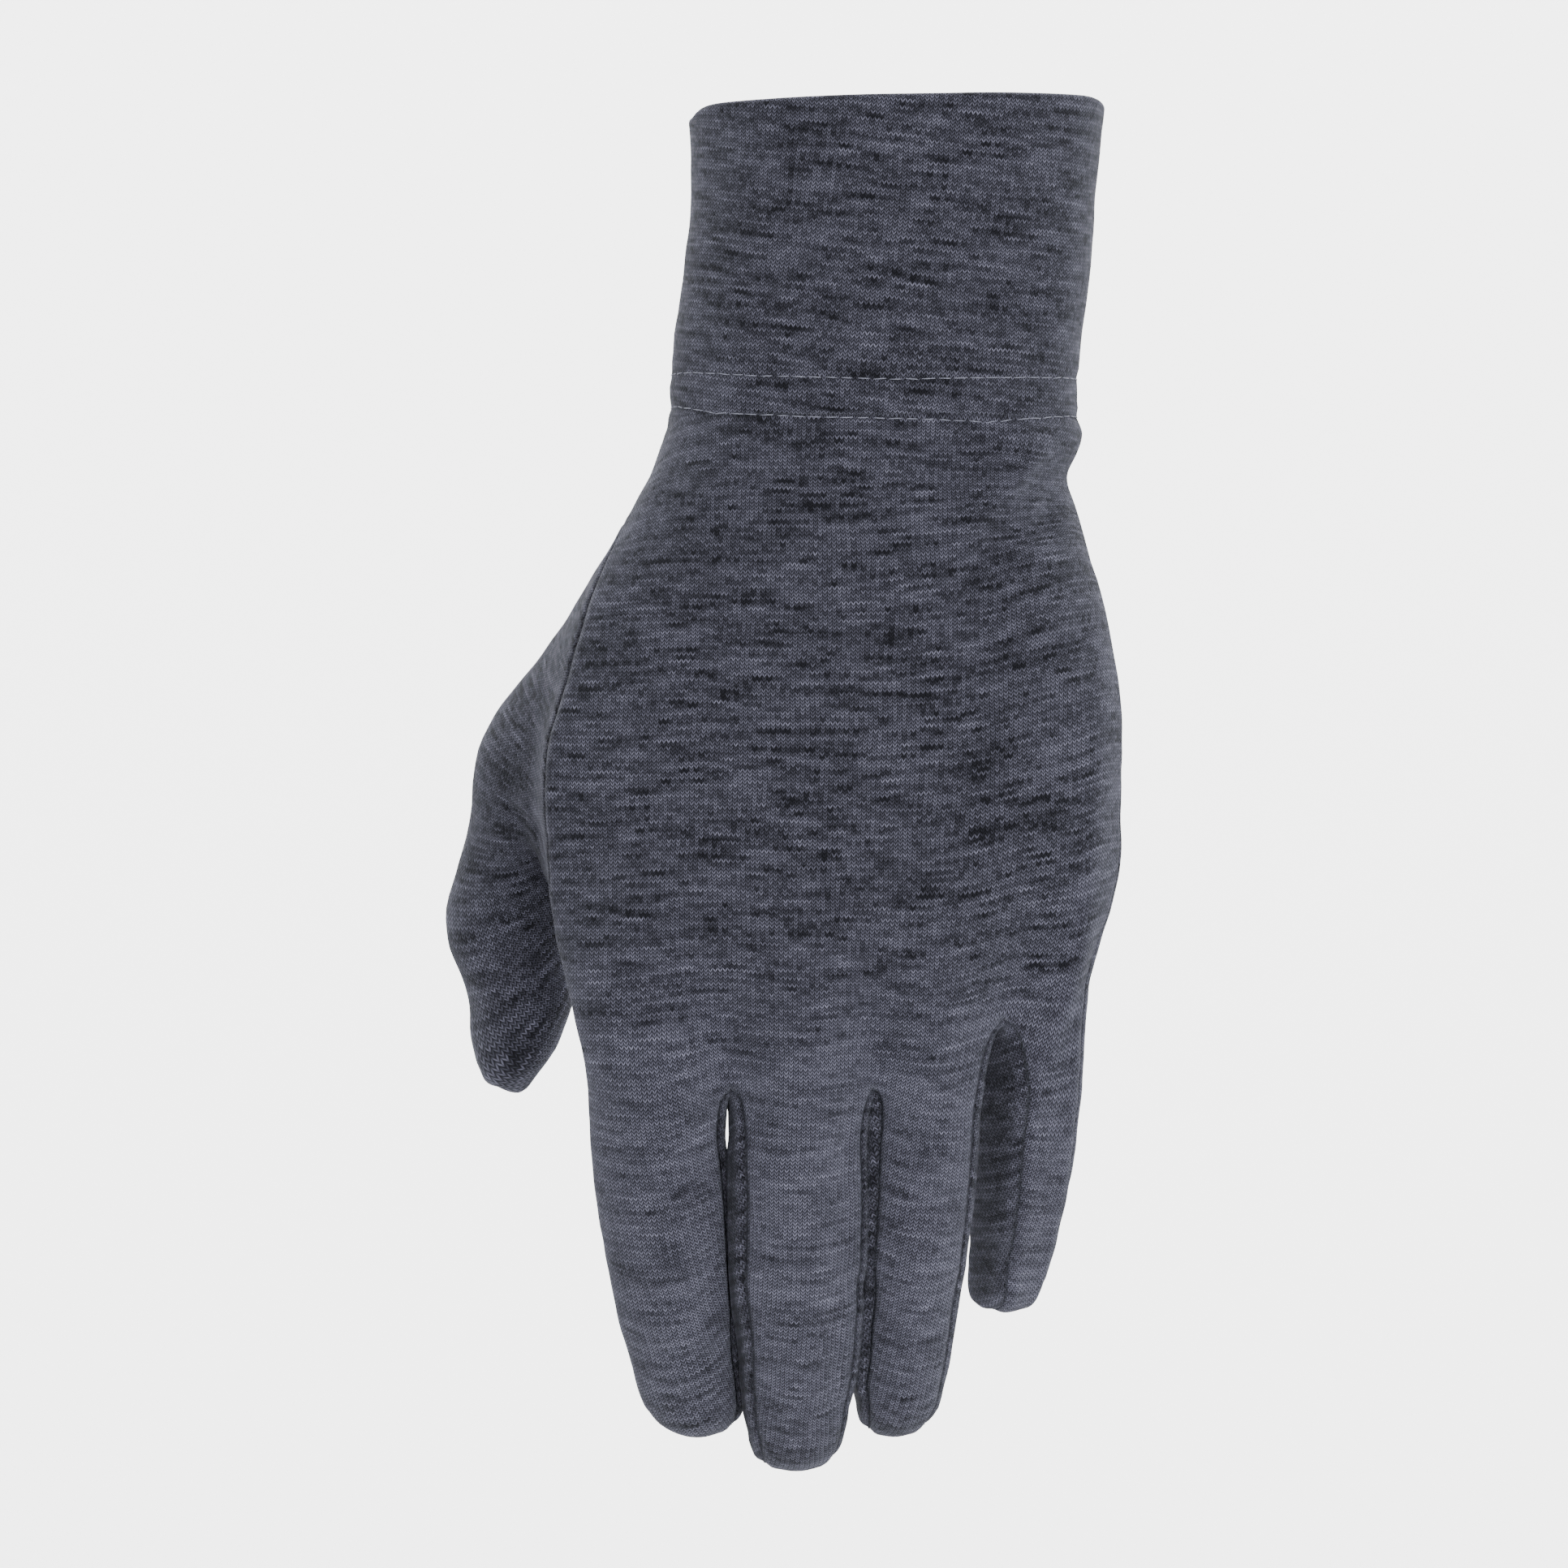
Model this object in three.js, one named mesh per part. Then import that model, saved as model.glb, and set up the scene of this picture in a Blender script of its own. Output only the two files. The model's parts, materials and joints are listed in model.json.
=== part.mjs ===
import * as THREE from 'three';

// A fine knitted glove liner for the left hand, with the form it has when it is worn.
// +X points to the little finger, +Y to the palm side and +Z up, out of the cuff.
// The origin is the centre of the cuff mouth, where the wrist goes in. All lengths are mm.

// Cuff, from its mouth down to the seam that joins it to the hand
const CUFF_LENGTH = 53;
const MOUTH_BREADTH = 69.3;
const MOUTH_DEPTH = 47;
const MOUTH_SLOPE = 1.5;
const WRIST_BREADTH = 68.1;
const WRIST_DEPTH = 43;

// Hand, from the cuff seam down to the crotches between the fingers
const HAND_LENGTH = 111;
const PALM_BREADTH = 97.6;
const PALM_DEPTH = 33;
const LITTLE_RISE = 11.5;

// Fingers, each measured along its own bent axis from the crotches to its tip
const INDEX_LENGTH = 67.5;
const INDEX_BREADTH = 22.5;
const INDEX_DEPTH = 20.5;
const MIDDLE_LENGTH = 73;
const MIDDLE_BREADTH = 22.8;
const MIDDLE_DEPTH = 20.5;
const RING_LENGTH = 74;
const RING_BREADTH = 19.6;
const RING_DEPTH = 19;
const LITTLE_LENGTH = 60;
const LITTLE_BREADTH = 17.9;
const LITTLE_DEPTH = 16.5;

// Thumb, from the top of its gusset at the wrist down to its tip
const THUMB_LENGTH = 96;
const THUMB_BREADTH = 21.5;
const THUMB_DEPTH = 21;

// Cloth: the cuff is a doubled hem, the hand is one layer, and the pieces meet at sewn edges
const CUFF_WALL = 2;
const HAND_WALL = 1.2;
const SEAM_GAP = 0.3;
const WEB_DROP = 2;

const CLOTH_COLOUR = 0x555b6b;
const CLOTH_ROUGHNESS = 0.92;

const degrees = THREE.MathUtils.degToRad;
const lerp = THREE.MathUtils.lerp;
const smooth = (from, to, value) => THREE.MathUtils.smoothstep(value, from, to);
const point = (x, y, z) => new THREE.Vector3(x, y, z);

// The tube of cuff and hand has one column of points at the thumb side seam, nine across the back,
// one at the little finger side seam and nine across the palm.
const BACK_COLUMNS = 9;
const COLUMNS = 2 * BACK_COLUMNS + 2;
const THUMB_SEAM = 0;
const LITTLE_SEAM = BACK_COLUMNS + 1;
const THUMB_HOLE_COLUMN = COLUMNS - 3;

// Cuff sections. at: share of the cuff's length. lean: sideways shift, as a share of that length.
// narrow: 0 at the mouth's breadth, 1 at the wrist's.
const CUFF_ROWS = [
  { at: 0.0, lean: 0.0, narrow: 0.0 },
  { at: 0.27, lean: -0.01, narrow: 1.5 },
  { at: 0.56, lean: -0.034, narrow: 1.2 },
  { at: 0.82, lean: -0.068, narrow: 1.2 },
  { at: 1.0, lean: -0.073, narrow: 1.0 },
];

// Hand sections. at and lean: shares of the hand's length. spread: breadth, 0 at the wrist's and
// 1 at the palm's. thin: depth, 0 at the wrist's and 1 at the palm's. forward: shift to the back
// side, as a share of the palm's depth. seam: angle of the thumb side seam, where -90 is the
// section's edge and 0 the middle of its back.
const HAND_ROWS = [
  { at: 0.0, lean: 0.0, spread: 0.0, thin: 0.0, forward: 0.0, seam: -97 },
  { at: 0.027, lean: -0.001, spread: 0.045, thin: 0.02, forward: 0.005, seam: -97 },
  { at: 0.057, lean: -0.009, spread: 0.05, thin: 0.05, forward: 0.015, seam: -96 },
  { at: 0.094, lean: -0.024, spread: 0.053, thin: 0.1, forward: 0.03, seam: -95 },
  { at: 0.155, lean: -0.034, spread: 0.226, thin: 0.2, forward: 0.055, seam: -90 },
  { at: 0.27, lean: -0.05, spread: 0.578, thin: 0.4, forward: 0.13, seam: -75 },
  { at: 0.384, lean: -0.058, spread: 0.82, thin: 0.6, forward: 0.2, seam: -72 },
  { at: 0.499, lean: -0.07, spread: 1.0, thin: 0.75, forward: 0.26, seam: -70 },
  { at: 0.613, lean: -0.067, spread: 0.96, thin: 0.9, forward: 0.31, seam: -74 },
  { at: 0.728, lean: -0.058, spread: 0.88, thin: 1.0, forward: 0.355, seam: -84 },
  { at: 0.82, lean: -0.0565, spread: 0.83, thin: 1.1, forward: 0.385, seam: -92 },
  { at: 0.91, lean: -0.0555, spread: 0.715, thin: 1.2, forward: 0.4, seam: -94 },
  { at: 1.0, lean: -0.053, spread: 0.54, thin: 1.3, forward: 0.385, seam: -95 },
];
const GUSSET_TOP_ROW = 4;
const GUSSET_END_ROW = 9;
const SECTION_POWER = 2.35;
// Where the columns start to move to the fingers and where the relief of the knuckles starts
const GATHER_FROM = 0.2;
const RELIEF_FROM = 0.72;

// Soft rises and hollows of the palm. across: -1 at the thumb side and 1 at the little finger's.
// along: share of the hand's length. wide and long: how far each reaches. height: a share of the
// palm's depth.
const PALM_MOUNDS = [
  { name: 'heel_under_little_finger', across: 0.5, along: 0.33, wide: 0.4, long: 0.24, height: 0.13 },
  { name: 'ball_of_thumb', across: -0.45, along: 0.4, wide: 0.4, long: 0.22, height: 0.16 },
  { name: 'hollow', across: 0.05, along: 0.62, wide: 0.35, long: 0.16, height: -0.06 },
  { name: 'pads_under_fingers', across: 0.1, along: 0.88, wide: 0.7, long: 0.09, height: 0.06 },
];

// Folds of the cloth on the back. across: shares of the palm's breadth from the hand's middle line.
// along: shares of the hand's length, negative on the cuff. height: mm out of the cloth. reach: mm.
const FOLDS = [
  { name: 'pull_below_cuff', from: [0.25, 0.04], to: [0.07, 0.24], height: 0.9, reach: 4 },
  { name: 'hollow_beside_pull', from: [0.17, 0.03], to: [0.02, 0.2], height: -0.5, reach: 5 },
  { name: 'dent_in_cuff', from: [0.12, -0.17], to: [0.24, -0.19], height: -1.1, reach: 7 },
  { name: 'pinch_at_wrist', from: [0.3, 0.09], to: [0.2, 0.13], height: -0.6, reach: 4 },
];

// Fingers. side: place in the row, with the middle finger at 0. near and far: distance from the
// neighbour towards the middle finger, as a share of half the sum of both breadths, at the crotch
// and at the tip. set: shift to the palm side as a share of the palm's depth. tilt and curl: lean of
// the axis to the palm side at the crotch and at the tip, in degrees. joint: extra breadth at the
// middle joint. seams: angles of the back panel's two edges and the palm panel's two, where 0 is
// the middle of the back and 90 the side towards the little finger.
const FINGERS = [
  {
    name: 'index', length: INDEX_LENGTH, breadth: INDEX_BREADTH, depth: INDEX_DEPTH,
    side: -1, near: 1.02, far: 0.7, set: -0.052, tilt: 14, curl: 44, joint: -0.02,
    seams: { backLeft: -58, backRight: 70, palmRight: 122, palmLeft: 232, left: -94, right: 96 },
  },
  {
    name: 'middle', length: MIDDLE_LENGTH, breadth: MIDDLE_BREADTH, depth: MIDDLE_DEPTH,
    side: 0, near: 1, far: 1, set: -0.077, tilt: 12, curl: 42, joint: 0.02,
    seams: { backLeft: -49, backRight: 72, palmRight: 125, palmLeft: 240, left: -85, right: 98 },
  },
  {
    name: 'ring', length: RING_LENGTH, breadth: RING_BREADTH, depth: RING_DEPTH,
    side: 1, near: 1.01, far: 0.77, set: -0.05, tilt: 13, curl: 43, joint: -0.02,
    seams: { backLeft: -48, backRight: 63, palmRight: 122, palmLeft: 240, left: -84, right: 93 },
  },
  {
    name: 'little', length: LITTLE_LENGTH, breadth: LITTLE_BREADTH, depth: LITTLE_DEPTH,
    side: 2, near: 0.97, far: 0.98, set: 0.11, tilt: 20, curl: 48, joint: 0,
    seams: { backLeft: -8, backRight: 40, palmRight: 130, palmLeft: 270, left: -49, right: 66 },
  },
];
const MIDDLE_FINGER = 1;
const LAST_FINGER = FINGERS.length - 1;

// Finger sections. at: share of the finger's length. breadth and depth: shares of its own.
const FINGER_ROWS = [
  { at: 0.0, breadth: 0.98, depth: 1.05 },
  { at: 0.13, breadth: 0.97, depth: 1.0 },
  { at: 0.29, breadth: 0.965, depth: 0.97 },
  { at: 0.46, breadth: 0.925, depth: 0.95 },
  { at: 0.63, breadth: 0.85, depth: 0.87 },
  { at: 0.79, breadth: 0.78, depth: 0.8 },
  { at: 0.92, breadth: 0.68, depth: 0.68 },
];
const JOINT_AT = 0.42;
const JOINT_REACH = 0.13;
const TIP_HALF_BREADTH = 0.2;
// How late along the fingers their axes draw together
const DRAW_TOGETHER = 1.5;
const TIP_CORNER_AT = 0.985;

// Thumb sections, measured from the seam at the top of the gusset. out, drop and behind: shares of
// the thumb's length. reach: half size along the section's long axis, as a share of the breadth.
// depth: half size across it, as a share of the depth. slant: angle of the long axis from upright
// to the outer side. turn and tilt: angles of the short axis to the outer side and downwards.
// own: 0 where the section follows the edge of the hand, 1 where it has its own shape. arch: rise
// of the tip's line towards its ends, as a share of the length.
const THUMB_ROWS = [
  {
    out: 0.07, drop: 0.398, behind: 0.1, reach: 1.17, depth: 0.75,
    slant: -3, turn: 35, tilt: 0, own: 0.7,
  },
  {
    out: 0.117, drop: 0.447, behind: 0.115, reach: 0.93, depth: 0.67,
    slant: 7, turn: 28, tilt: 4, own: 0.9,
  },
  {
    out: 0.162, drop: 0.494, behind: 0.146, reach: 0.68, depth: 0.6,
    slant: 33, turn: 18, tilt: 10, own: 1,
  },
  {
    out: 0.176, drop: 0.575, behind: 0.177, reach: 0.5, depth: 0.55,
    slant: 64, turn: 8, tilt: 16, own: 1,
  },
  {
    out: 0.207, drop: 0.701, behind: 0.219, reach: 0.503, depth: 0.5,
    slant: 85, turn: 0, tilt: 20, own: 1,
  },
  {
    out: 0.19, drop: 0.805, behind: 0.26, reach: 0.435, depth: 0.455,
    slant: 90, turn: 0, tilt: 20, own: 1,
  },
  {
    out: 0.199, drop: 0.907, behind: 0.297, reach: 0.345, depth: 0.39,
    slant: 90, turn: 0, tilt: 20, own: 1,
  },
  {
    out: 0.206, drop: 0.966, behind: 0.318, reach: 0.225, depth: 0.25,
    slant: 100, turn: 0, tilt: 20, own: 1,
  },
];
const THUMB_TIP = { out: 0.196, drop: 1.0, behind: 0.328, reach: 0.07, arch: 0.01 };

// A cage is a list of corner points and of faces, each face with the name of its piece.
const corners = [];
const faces = [];

function addCorner(position) {
  corners.push(position);
  return corners.length - 1;
}

function addFace(piece, ...loop) {
  faces.push({ piece, loop });
}

// The half breadth and half depth of a finger at one of its sections.
function fingerSize(finger, row) {
  const bump = finger.joint * Math.exp(-(((row.at - JOINT_AT) / JOINT_REACH) ** 2));
  return {
    halfBreadth: 0.5 * finger.breadth * (row.breadth + bump),
    halfDepth: 0.5 * finger.depth * row.depth,
  };
}

// The distance of a finger's axis from the middle finger's, at a share of its length.
function fingerSideways(finger, at) {
  const step = Math.sign(finger.side);
  const drawn = at ** DRAW_TOGETHER;
  let distance = 0;
  for (let side = step; Math.abs(side) <= Math.abs(finger.side) && step !== 0; side += step) {
    const here = FINGERS[MIDDLE_FINGER + side];
    const neighbour = FINGERS[MIDDLE_FINGER + side - step];
    distance += 0.5 * (here.breadth + neighbour.breadth) * lerp(here.near, here.far, drawn);
  }
  return step * distance;
}

// Heights of the crotches, from the thumb side of the index finger to the outside of the little one.
const crotchHeight = -(CUFF_LENGTH + HAND_LENGTH);
const CROTCH_RISES = [0, 0, 0, LITTLE_RISE, LITTLE_RISE];

function sectionSize(row) {
  return {
    centre: CUFF_ROWS.at(-1).lean * CUFF_LENGTH + row.lean * HAND_LENGTH,
    half: 0.5 * lerp(WRIST_BREADTH, PALM_BREADTH, row.spread),
    middle: -row.forward * PALM_DEPTH,
    depth: 0.5 * lerp(WRIST_DEPTH, PALM_DEPTH, row.thin),
  };
}

const knuckles = sectionSize(HAND_ROWS.at(-1));
const middleFingerX = knuckles.centre + fingersOffCentre();

// The middle finger stands off the knuckles' centre because the fingers' breadths differ.
function fingersOffCentre() {
  const outer = fingerSideways(FINGERS[LAST_FINGER], 0) + 0.5 * LITTLE_BREADTH;
  const inner = fingerSideways(FINGERS[0], 0) - 0.5 * INDEX_BREADTH;
  return -0.5 * (outer + inner);
}

// A finger's axis: a point and the lean of the axis there, found by stepping along it.
const AXIS_STEPS = 24;
function fingerAxis(index, at) {
  const finger = FINGERS[index];
  const rise = 0.5 * (CROTCH_RISES[index] + CROTCH_RISES[index + 1]);
  const position = point(
    middleFingerX + fingerSideways(finger, at),
    knuckles.middle + finger.set * PALM_DEPTH,
    crotchHeight + rise,
  );
  const stepLength = (finger.length * at) / AXIS_STEPS;
  for (let step = 0; step < AXIS_STEPS; step += 1) {
    const lean = degrees(lerp(finger.tilt, finger.curl, (at * (step + 0.5)) / AXIS_STEPS));
    position.y += Math.sin(lean) * stepLength;
    position.z -= Math.cos(lean) * stepLength;
  }
  return { position, lean: degrees(lerp(finger.tilt, finger.curl, at)) };
}

// A point on a finger's skin. angle: 0 on the middle of the back, 90 towards the little finger.
function fingerPoint(index, row, angle) {
  const { position, lean } = fingerAxis(index, row.at);
  const { halfBreadth, halfDepth } = fingerSize(FINGERS[index], row);
  const across = Math.sin(degrees(angle)) * halfBreadth;
  const back = Math.cos(degrees(angle)) * halfDepth;
  return point(
    position.x + across,
    position.y - Math.cos(lean) * back,
    position.z - Math.sin(lean) * back,
  );
}

// The eight angles of a finger's ring, from its left side across the back, the right side and the palm.
function ringAngles(seams) {
  return [
    seams.left,
    seams.backLeft,
    0.5 * (seams.backLeft + seams.backRight),
    seams.backRight,
    seams.right,
    seams.palmRight,
    0.5 * (seams.palmRight + seams.palmLeft),
    seams.palmLeft,
  ];
}

// Where the fingers start: the last row of the hand, with the web points that join back and palm.
function knuckleRow() {
  const first = FINGER_ROWS[0];
  const rings = FINGERS.map((finger, index) =>
    ringAngles(finger.seams).map((angle) => fingerPoint(index, first, angle)),
  );
  const row = new Array(COLUMNS);
  const webs = [];
  row[THUMB_SEAM] = rings[0][0];
  row[LITTLE_SEAM] = rings[LAST_FINGER][4];
  const backColumn = (number) => 1 + number;
  const palmColumn = (number) => COLUMNS - 1 - number;
  rings.forEach((ring, index) => {
    row[backColumn(2 * index + 1)] = ring[2];
    row[palmColumn(2 * index + 1)] = ring[6];
  });
  row[backColumn(0)] = rings[0][1];
  row[palmColumn(0)] = rings[0][7];
  row[backColumn(2 * LAST_FINGER + 2)] = rings[LAST_FINGER][3];
  row[palmColumn(2 * LAST_FINGER + 2)] = rings[LAST_FINGER][5];
  for (let index = 0; index < LAST_FINGER; index += 1) {
    const height = crotchHeight + CROTCH_RISES[index + 1];
    const back = rings[index][3].clone().lerp(rings[index + 1][1], 0.5);
    const palm = rings[index][5].clone().lerp(rings[index + 1][7], 0.5);
    back.z = height;
    palm.z = height - WEB_DROP;
    row[backColumn(2 * index + 2)] = back;
    row[palmColumn(2 * index + 2)] = palm;
    webs.push(back.clone().lerp(palm, 0.5).setZ(height - WEB_DROP));
  }
  return { row, webs };
}

const start = knuckleRow();

// Depth of a section's outline at a place across it: -1 and 1 are its edges.
function outline(size, across) {
  const inside = Math.max(0, 1 - Math.abs(across) ** SECTION_POWER);
  return size.depth * inside ** (1 / SECTION_POWER);
}

// A column's place on a plain section: its angle, and the side of the hand that it is on.
function columnAngle(column, seam) {
  if (column <= LITTLE_SEAM) return lerp(seam, 90, column / LITTLE_SEAM);
  return lerp(90, seam + 360, (column - LITTLE_SEAM) / (COLUMNS - LITTLE_SEAM));
}

function plainPoint(size, angle, height) {
  const sine = Math.sin(degrees(angle));
  const cosine = Math.cos(degrees(angle));
  const bend = 2 / SECTION_POWER;
  return point(
    size.centre + size.half * Math.sign(sine) * Math.abs(sine) ** bend,
    size.middle - size.depth * Math.sign(cosine) * Math.abs(cosine) ** bend,
    height,
  );
}

const CUFF_SEAM_ROW = CUFF_ROWS.length - 1;
const KNUCKLE_ROW = CUFF_SEAM_ROW + HAND_ROWS.length - 1;

// A point of the cuff, whose sections are level and evenly divided.
function cuffPoint(row, column) {
  const size = {
    centre: row.lean * CUFF_LENGTH,
    half: 0.5 * lerp(MOUTH_BREADTH, WRIST_BREADTH, row.narrow),
    middle: 0,
    depth: 0.5 * lerp(MOUTH_DEPTH, WRIST_DEPTH, row.at),
  };
  const place = plainPoint(size, columnAngle(column, HAND_ROWS[0].seam), -row.at * CUFF_LENGTH);
  const fromLittleSeam = 0.5 - (0.5 * (place.x - size.centre)) / size.half;
  place.z -= (1 - row.at) * MOUTH_SLOPE * fromLittleSeam ** 2;
  return place;
}

// How far the palm stands out of its plain section at one place.
function palmRise(across, along) {
  return PALM_MOUNDS.reduce((sum, mound) => {
    const a = (across - mound.across) / mound.wide;
    const b = (along - mound.along) / mound.long;
    return sum + mound.height * PALM_DEPTH * Math.exp(-a * a - b * b);
  }, 0);
}

// A point of the hand. Towards the knuckles the columns move to the fingers, the relief of the
// knuckles grows, and the rows slope up to the little finger's crotch.
function handPoint(row, column) {
  const size = sectionSize(row);
  const end = start.row[column];
  const height = -CUFF_LENGTH + row.at * (end.z + CUFF_LENGTH);
  const plain = plainPoint(size, columnAngle(column, row.seam), height);
  const gather = smooth(GATHER_FROM, 1, row.at);
  const relief = smooth(RELIEF_FROM, 1, row.at);
  const endAcross = (end.x - knuckles.centre) / knuckles.half;
  const across = lerp((plain.x - size.centre) / size.half, endAcross, gather);
  if (column === THUMB_SEAM || column === LITTLE_SEAM) {
    return plain.lerp(point(end.x, end.y, height), relief);
  }
  const side = column < LITTLE_SEAM ? -1 : 1;
  const endRise = end.y - (knuckles.middle + side * outline(knuckles, endAcross));
  const mounds = column < LITTLE_SEAM ? 0 : palmRise(across, row.at);
  return point(
    size.centre + across * size.half,
    size.middle + side * outline(size, across) + relief * endRise + mounds,
    height,
  );
}

// Corners of the cuff and the hand
const grid = [];
CUFF_ROWS.forEach((row) => {
  grid.push(Array.from({ length: COLUMNS }, (_, column) => cuffPoint(row, column)));
});
HAND_ROWS.slice(1).forEach((row) => {
  grid.push(Array.from({ length: COLUMNS }, (_, column) => handPoint(row, column)));
});
grid[KNUCKLE_ROW] = start.row;

const gussetTop = CUFF_SEAM_ROW + GUSSET_TOP_ROW;
const gussetEnd = CUFF_SEAM_ROW + GUSSET_END_ROW;
const inThumbHole = (row, column) =>
  row > gussetTop && row < gussetEnd && column > THUMB_HOLE_COLUMN;

const ids = grid.map((points, row) =>
  points.map((position, column) => (inThumbHole(row, column) ? -1 : addCorner(position))),
);

for (let row = 0; row < KNUCKLE_ROW; row += 1) {
  for (let column = 0; column < COLUMNS; column += 1) {
    const inGusset = row >= gussetTop && row < gussetEnd && column >= THUMB_HOLE_COLUMN;
    if (inGusset) continue;
    const next = (column + 1) % COLUMNS;
    const side = column < LITTLE_SEAM ? 'back_panel' : 'palm_panel';
    const piece = row < CUFF_SEAM_ROW ? 'cuff' : side;
    addFace(piece, ids[row][column], ids[row + 1][column], ids[row + 1][next], ids[row][next]);
  }
}

// Fingers: rings of eight corners, closed at the tip by a short seam of three
const webIds = start.webs.map(addCorner);
const knuckleIds = ids[KNUCKLE_ROW];

function fourchette(index) {
  return `fourchette_${FINGERS[index].name}_${FINGERS[index + 1].name}`;
}

function addFinger(index) {
  const finger = FINGERS[index];
  const angles = ringAngles(finger.seams);
  const back = 1 + 2 * index;
  const palm = COLUMNS - 1 - 2 * index;
  const leftId = index === 0 ? knuckleIds[THUMB_SEAM] : webIds[index - 1];
  const rightId = index === LAST_FINGER ? knuckleIds[LITTLE_SEAM] : webIds[index];
  const leftBack = index === 0 ? 'back_panel' : fourchette(index - 1);
  const leftPalm = index === 0 ? 'palm_panel' : fourchette(index - 1);
  const rightBack = index === LAST_FINGER ? 'back_panel' : fourchette(index);
  const rightPalm = index === LAST_FINGER ? 'palm_panel' : fourchette(index);
  const pieces = [
    leftBack, 'back_panel', 'back_panel', rightBack, rightPalm, 'palm_panel', 'palm_panel', leftPalm,
  ];
  let ring = [
    leftId, knuckleIds[back], knuckleIds[back + 1], knuckleIds[back + 2],
    rightId, knuckleIds[palm - 2], knuckleIds[palm - 1], knuckleIds[palm],
  ];
  FINGER_ROWS.slice(1).forEach((row) => {
    const lower = angles.map((angle) => addCorner(fingerPoint(index, row, angle)));
    pieces.forEach((piece, side) => {
      const next = (side + 1) % ring.length;
      addFace(piece, ring[side], lower[side], lower[next], ring[next]);
    });
    ring = lower;
  });
  const [left, backLeft, backMiddle, backRight, right, palmRight, palmMiddle, palmLeft] = ring;
  const corner = fingerAxis(index, TIP_CORNER_AT).position;
  const tip = fingerAxis(index, 1).position;
  const offset = TIP_HALF_BREADTH * finger.breadth;
  const tipLeft = addCorner(point(corner.x - offset, corner.y, corner.z));
  const tipMiddle = addCorner(tip);
  const tipRight = addCorner(point(corner.x + offset, corner.y, corner.z));
  addFace('back_panel', backLeft, tipLeft, tipMiddle, backMiddle);
  addFace('back_panel', backMiddle, tipMiddle, tipRight, backRight);
  addFace('palm_panel', palmRight, tipRight, tipMiddle, palmMiddle);
  addFace('palm_panel', palmMiddle, tipMiddle, tipLeft, palmLeft);
  if (leftBack === leftPalm) {
    addFace(leftBack, left, palmLeft, tipLeft, backLeft);
  } else {
    addFace(leftBack, left, tipLeft, backLeft);
    addFace(leftPalm, left, palmLeft, tipLeft);
  }
  if (rightBack === rightPalm) {
    addFace(rightBack, right, backRight, tipRight, palmRight);
  } else {
    addFace(rightBack, right, backRight, tipRight);
    addFace(rightPalm, right, tipRight, palmRight);
  }
}

FINGERS.forEach((_, index) => addFinger(index));

// Thumb: a tube that starts at the edge of the gusset's opening in the hand
function gussetLoop() {
  const side = (column) => ids.slice(gussetTop, gussetEnd + 1).map((row) => row[column]);
  const across = (row) => ids[row].slice(THUMB_HOLE_COLUMN + 1);
  return [
    ...side(THUMB_SEAM),
    ...across(gussetEnd).reverse(),
    ...side(THUMB_HOLE_COLUMN).reverse(),
    ...across(gussetTop),
  ];
}

const thumbRoot = grid[gussetTop][THUMB_SEAM];

function thumbCentre(row) {
  return point(
    thumbRoot.x - row.out * THUMB_LENGTH,
    row.behind * THUMB_LENGTH,
    thumbRoot.z - row.drop * THUMB_LENGTH,
  );
}

function addThumb() {
  const loop = gussetLoop();
  const count = loop.length;
  // Half a turn of the loop is its long side, so the middle of its top is half a step back
  const topMiddle = count - 1 - 0.5;
  let ring = loop;
  THUMB_ROWS.forEach((row) => {
    const centre = thumbCentre(row);
    const slant = degrees(row.slant);
    const turn = degrees(row.turn);
    const tilt = degrees(row.tilt);
    const long = point(-Math.sin(slant), 0, Math.cos(slant))
      .multiplyScalar(row.reach * THUMB_BREADTH);
    const short = point(
      -Math.sin(turn),
      -Math.cos(turn) * Math.cos(tilt),
      -Math.cos(turn) * Math.sin(tilt),
    ).multiplyScalar(row.depth * THUMB_DEPTH);
    const lower = loop.map((id, number) => {
      const angle = ((number - topMiddle) / count) * 2 * Math.PI;
      const own = centre.clone()
        .addScaledVector(long, Math.cos(angle))
        .addScaledVector(short, Math.sin(angle));
      return addCorner(corners[id].clone().lerp(own, row.own));
    });
    ring.forEach((id, number) => {
      const next = (number + 1) % count;
      addFace('thumb', id, lower[number], lower[next], ring[next]);
    });
    ring = lower;
  });
  // The tip closes on a short line between the ring's outermost and innermost corners
  const half = count / 2;
  const outer = count - 1;
  const centre = thumbCentre(THUMB_TIP);
  const line = [];
  for (let number = 1; number < half; number += 1) {
    const share = lerp(-1, 1, (number - 1) / (half - 2));
    line.push(addCorner(point(
      centre.x + share * THUMB_TIP.reach * THUMB_BREADTH,
      centre.y,
      centre.z + THUMB_TIP.arch * THUMB_LENGTH * share * share,
    )));
  }
  const front = (number) => ring[(outer + number) % count];
  const rear = (number) => ring[(outer - number + count) % count];
  addFace('thumb', front(0), rear(1), line[0], front(1));
  for (let number = 1; number < half - 1; number += 1) {
    addFace('thumb', front(number), line[number - 1], line[number], front(number + 1));
    addFace('thumb', rear(number + 1), line[number], line[number - 1], rear(number));
  }
  addFace('thumb', front(half), front(half - 1), line[half - 2], rear(half - 1));
}

addThumb();

// Smooth subdivision

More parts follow.
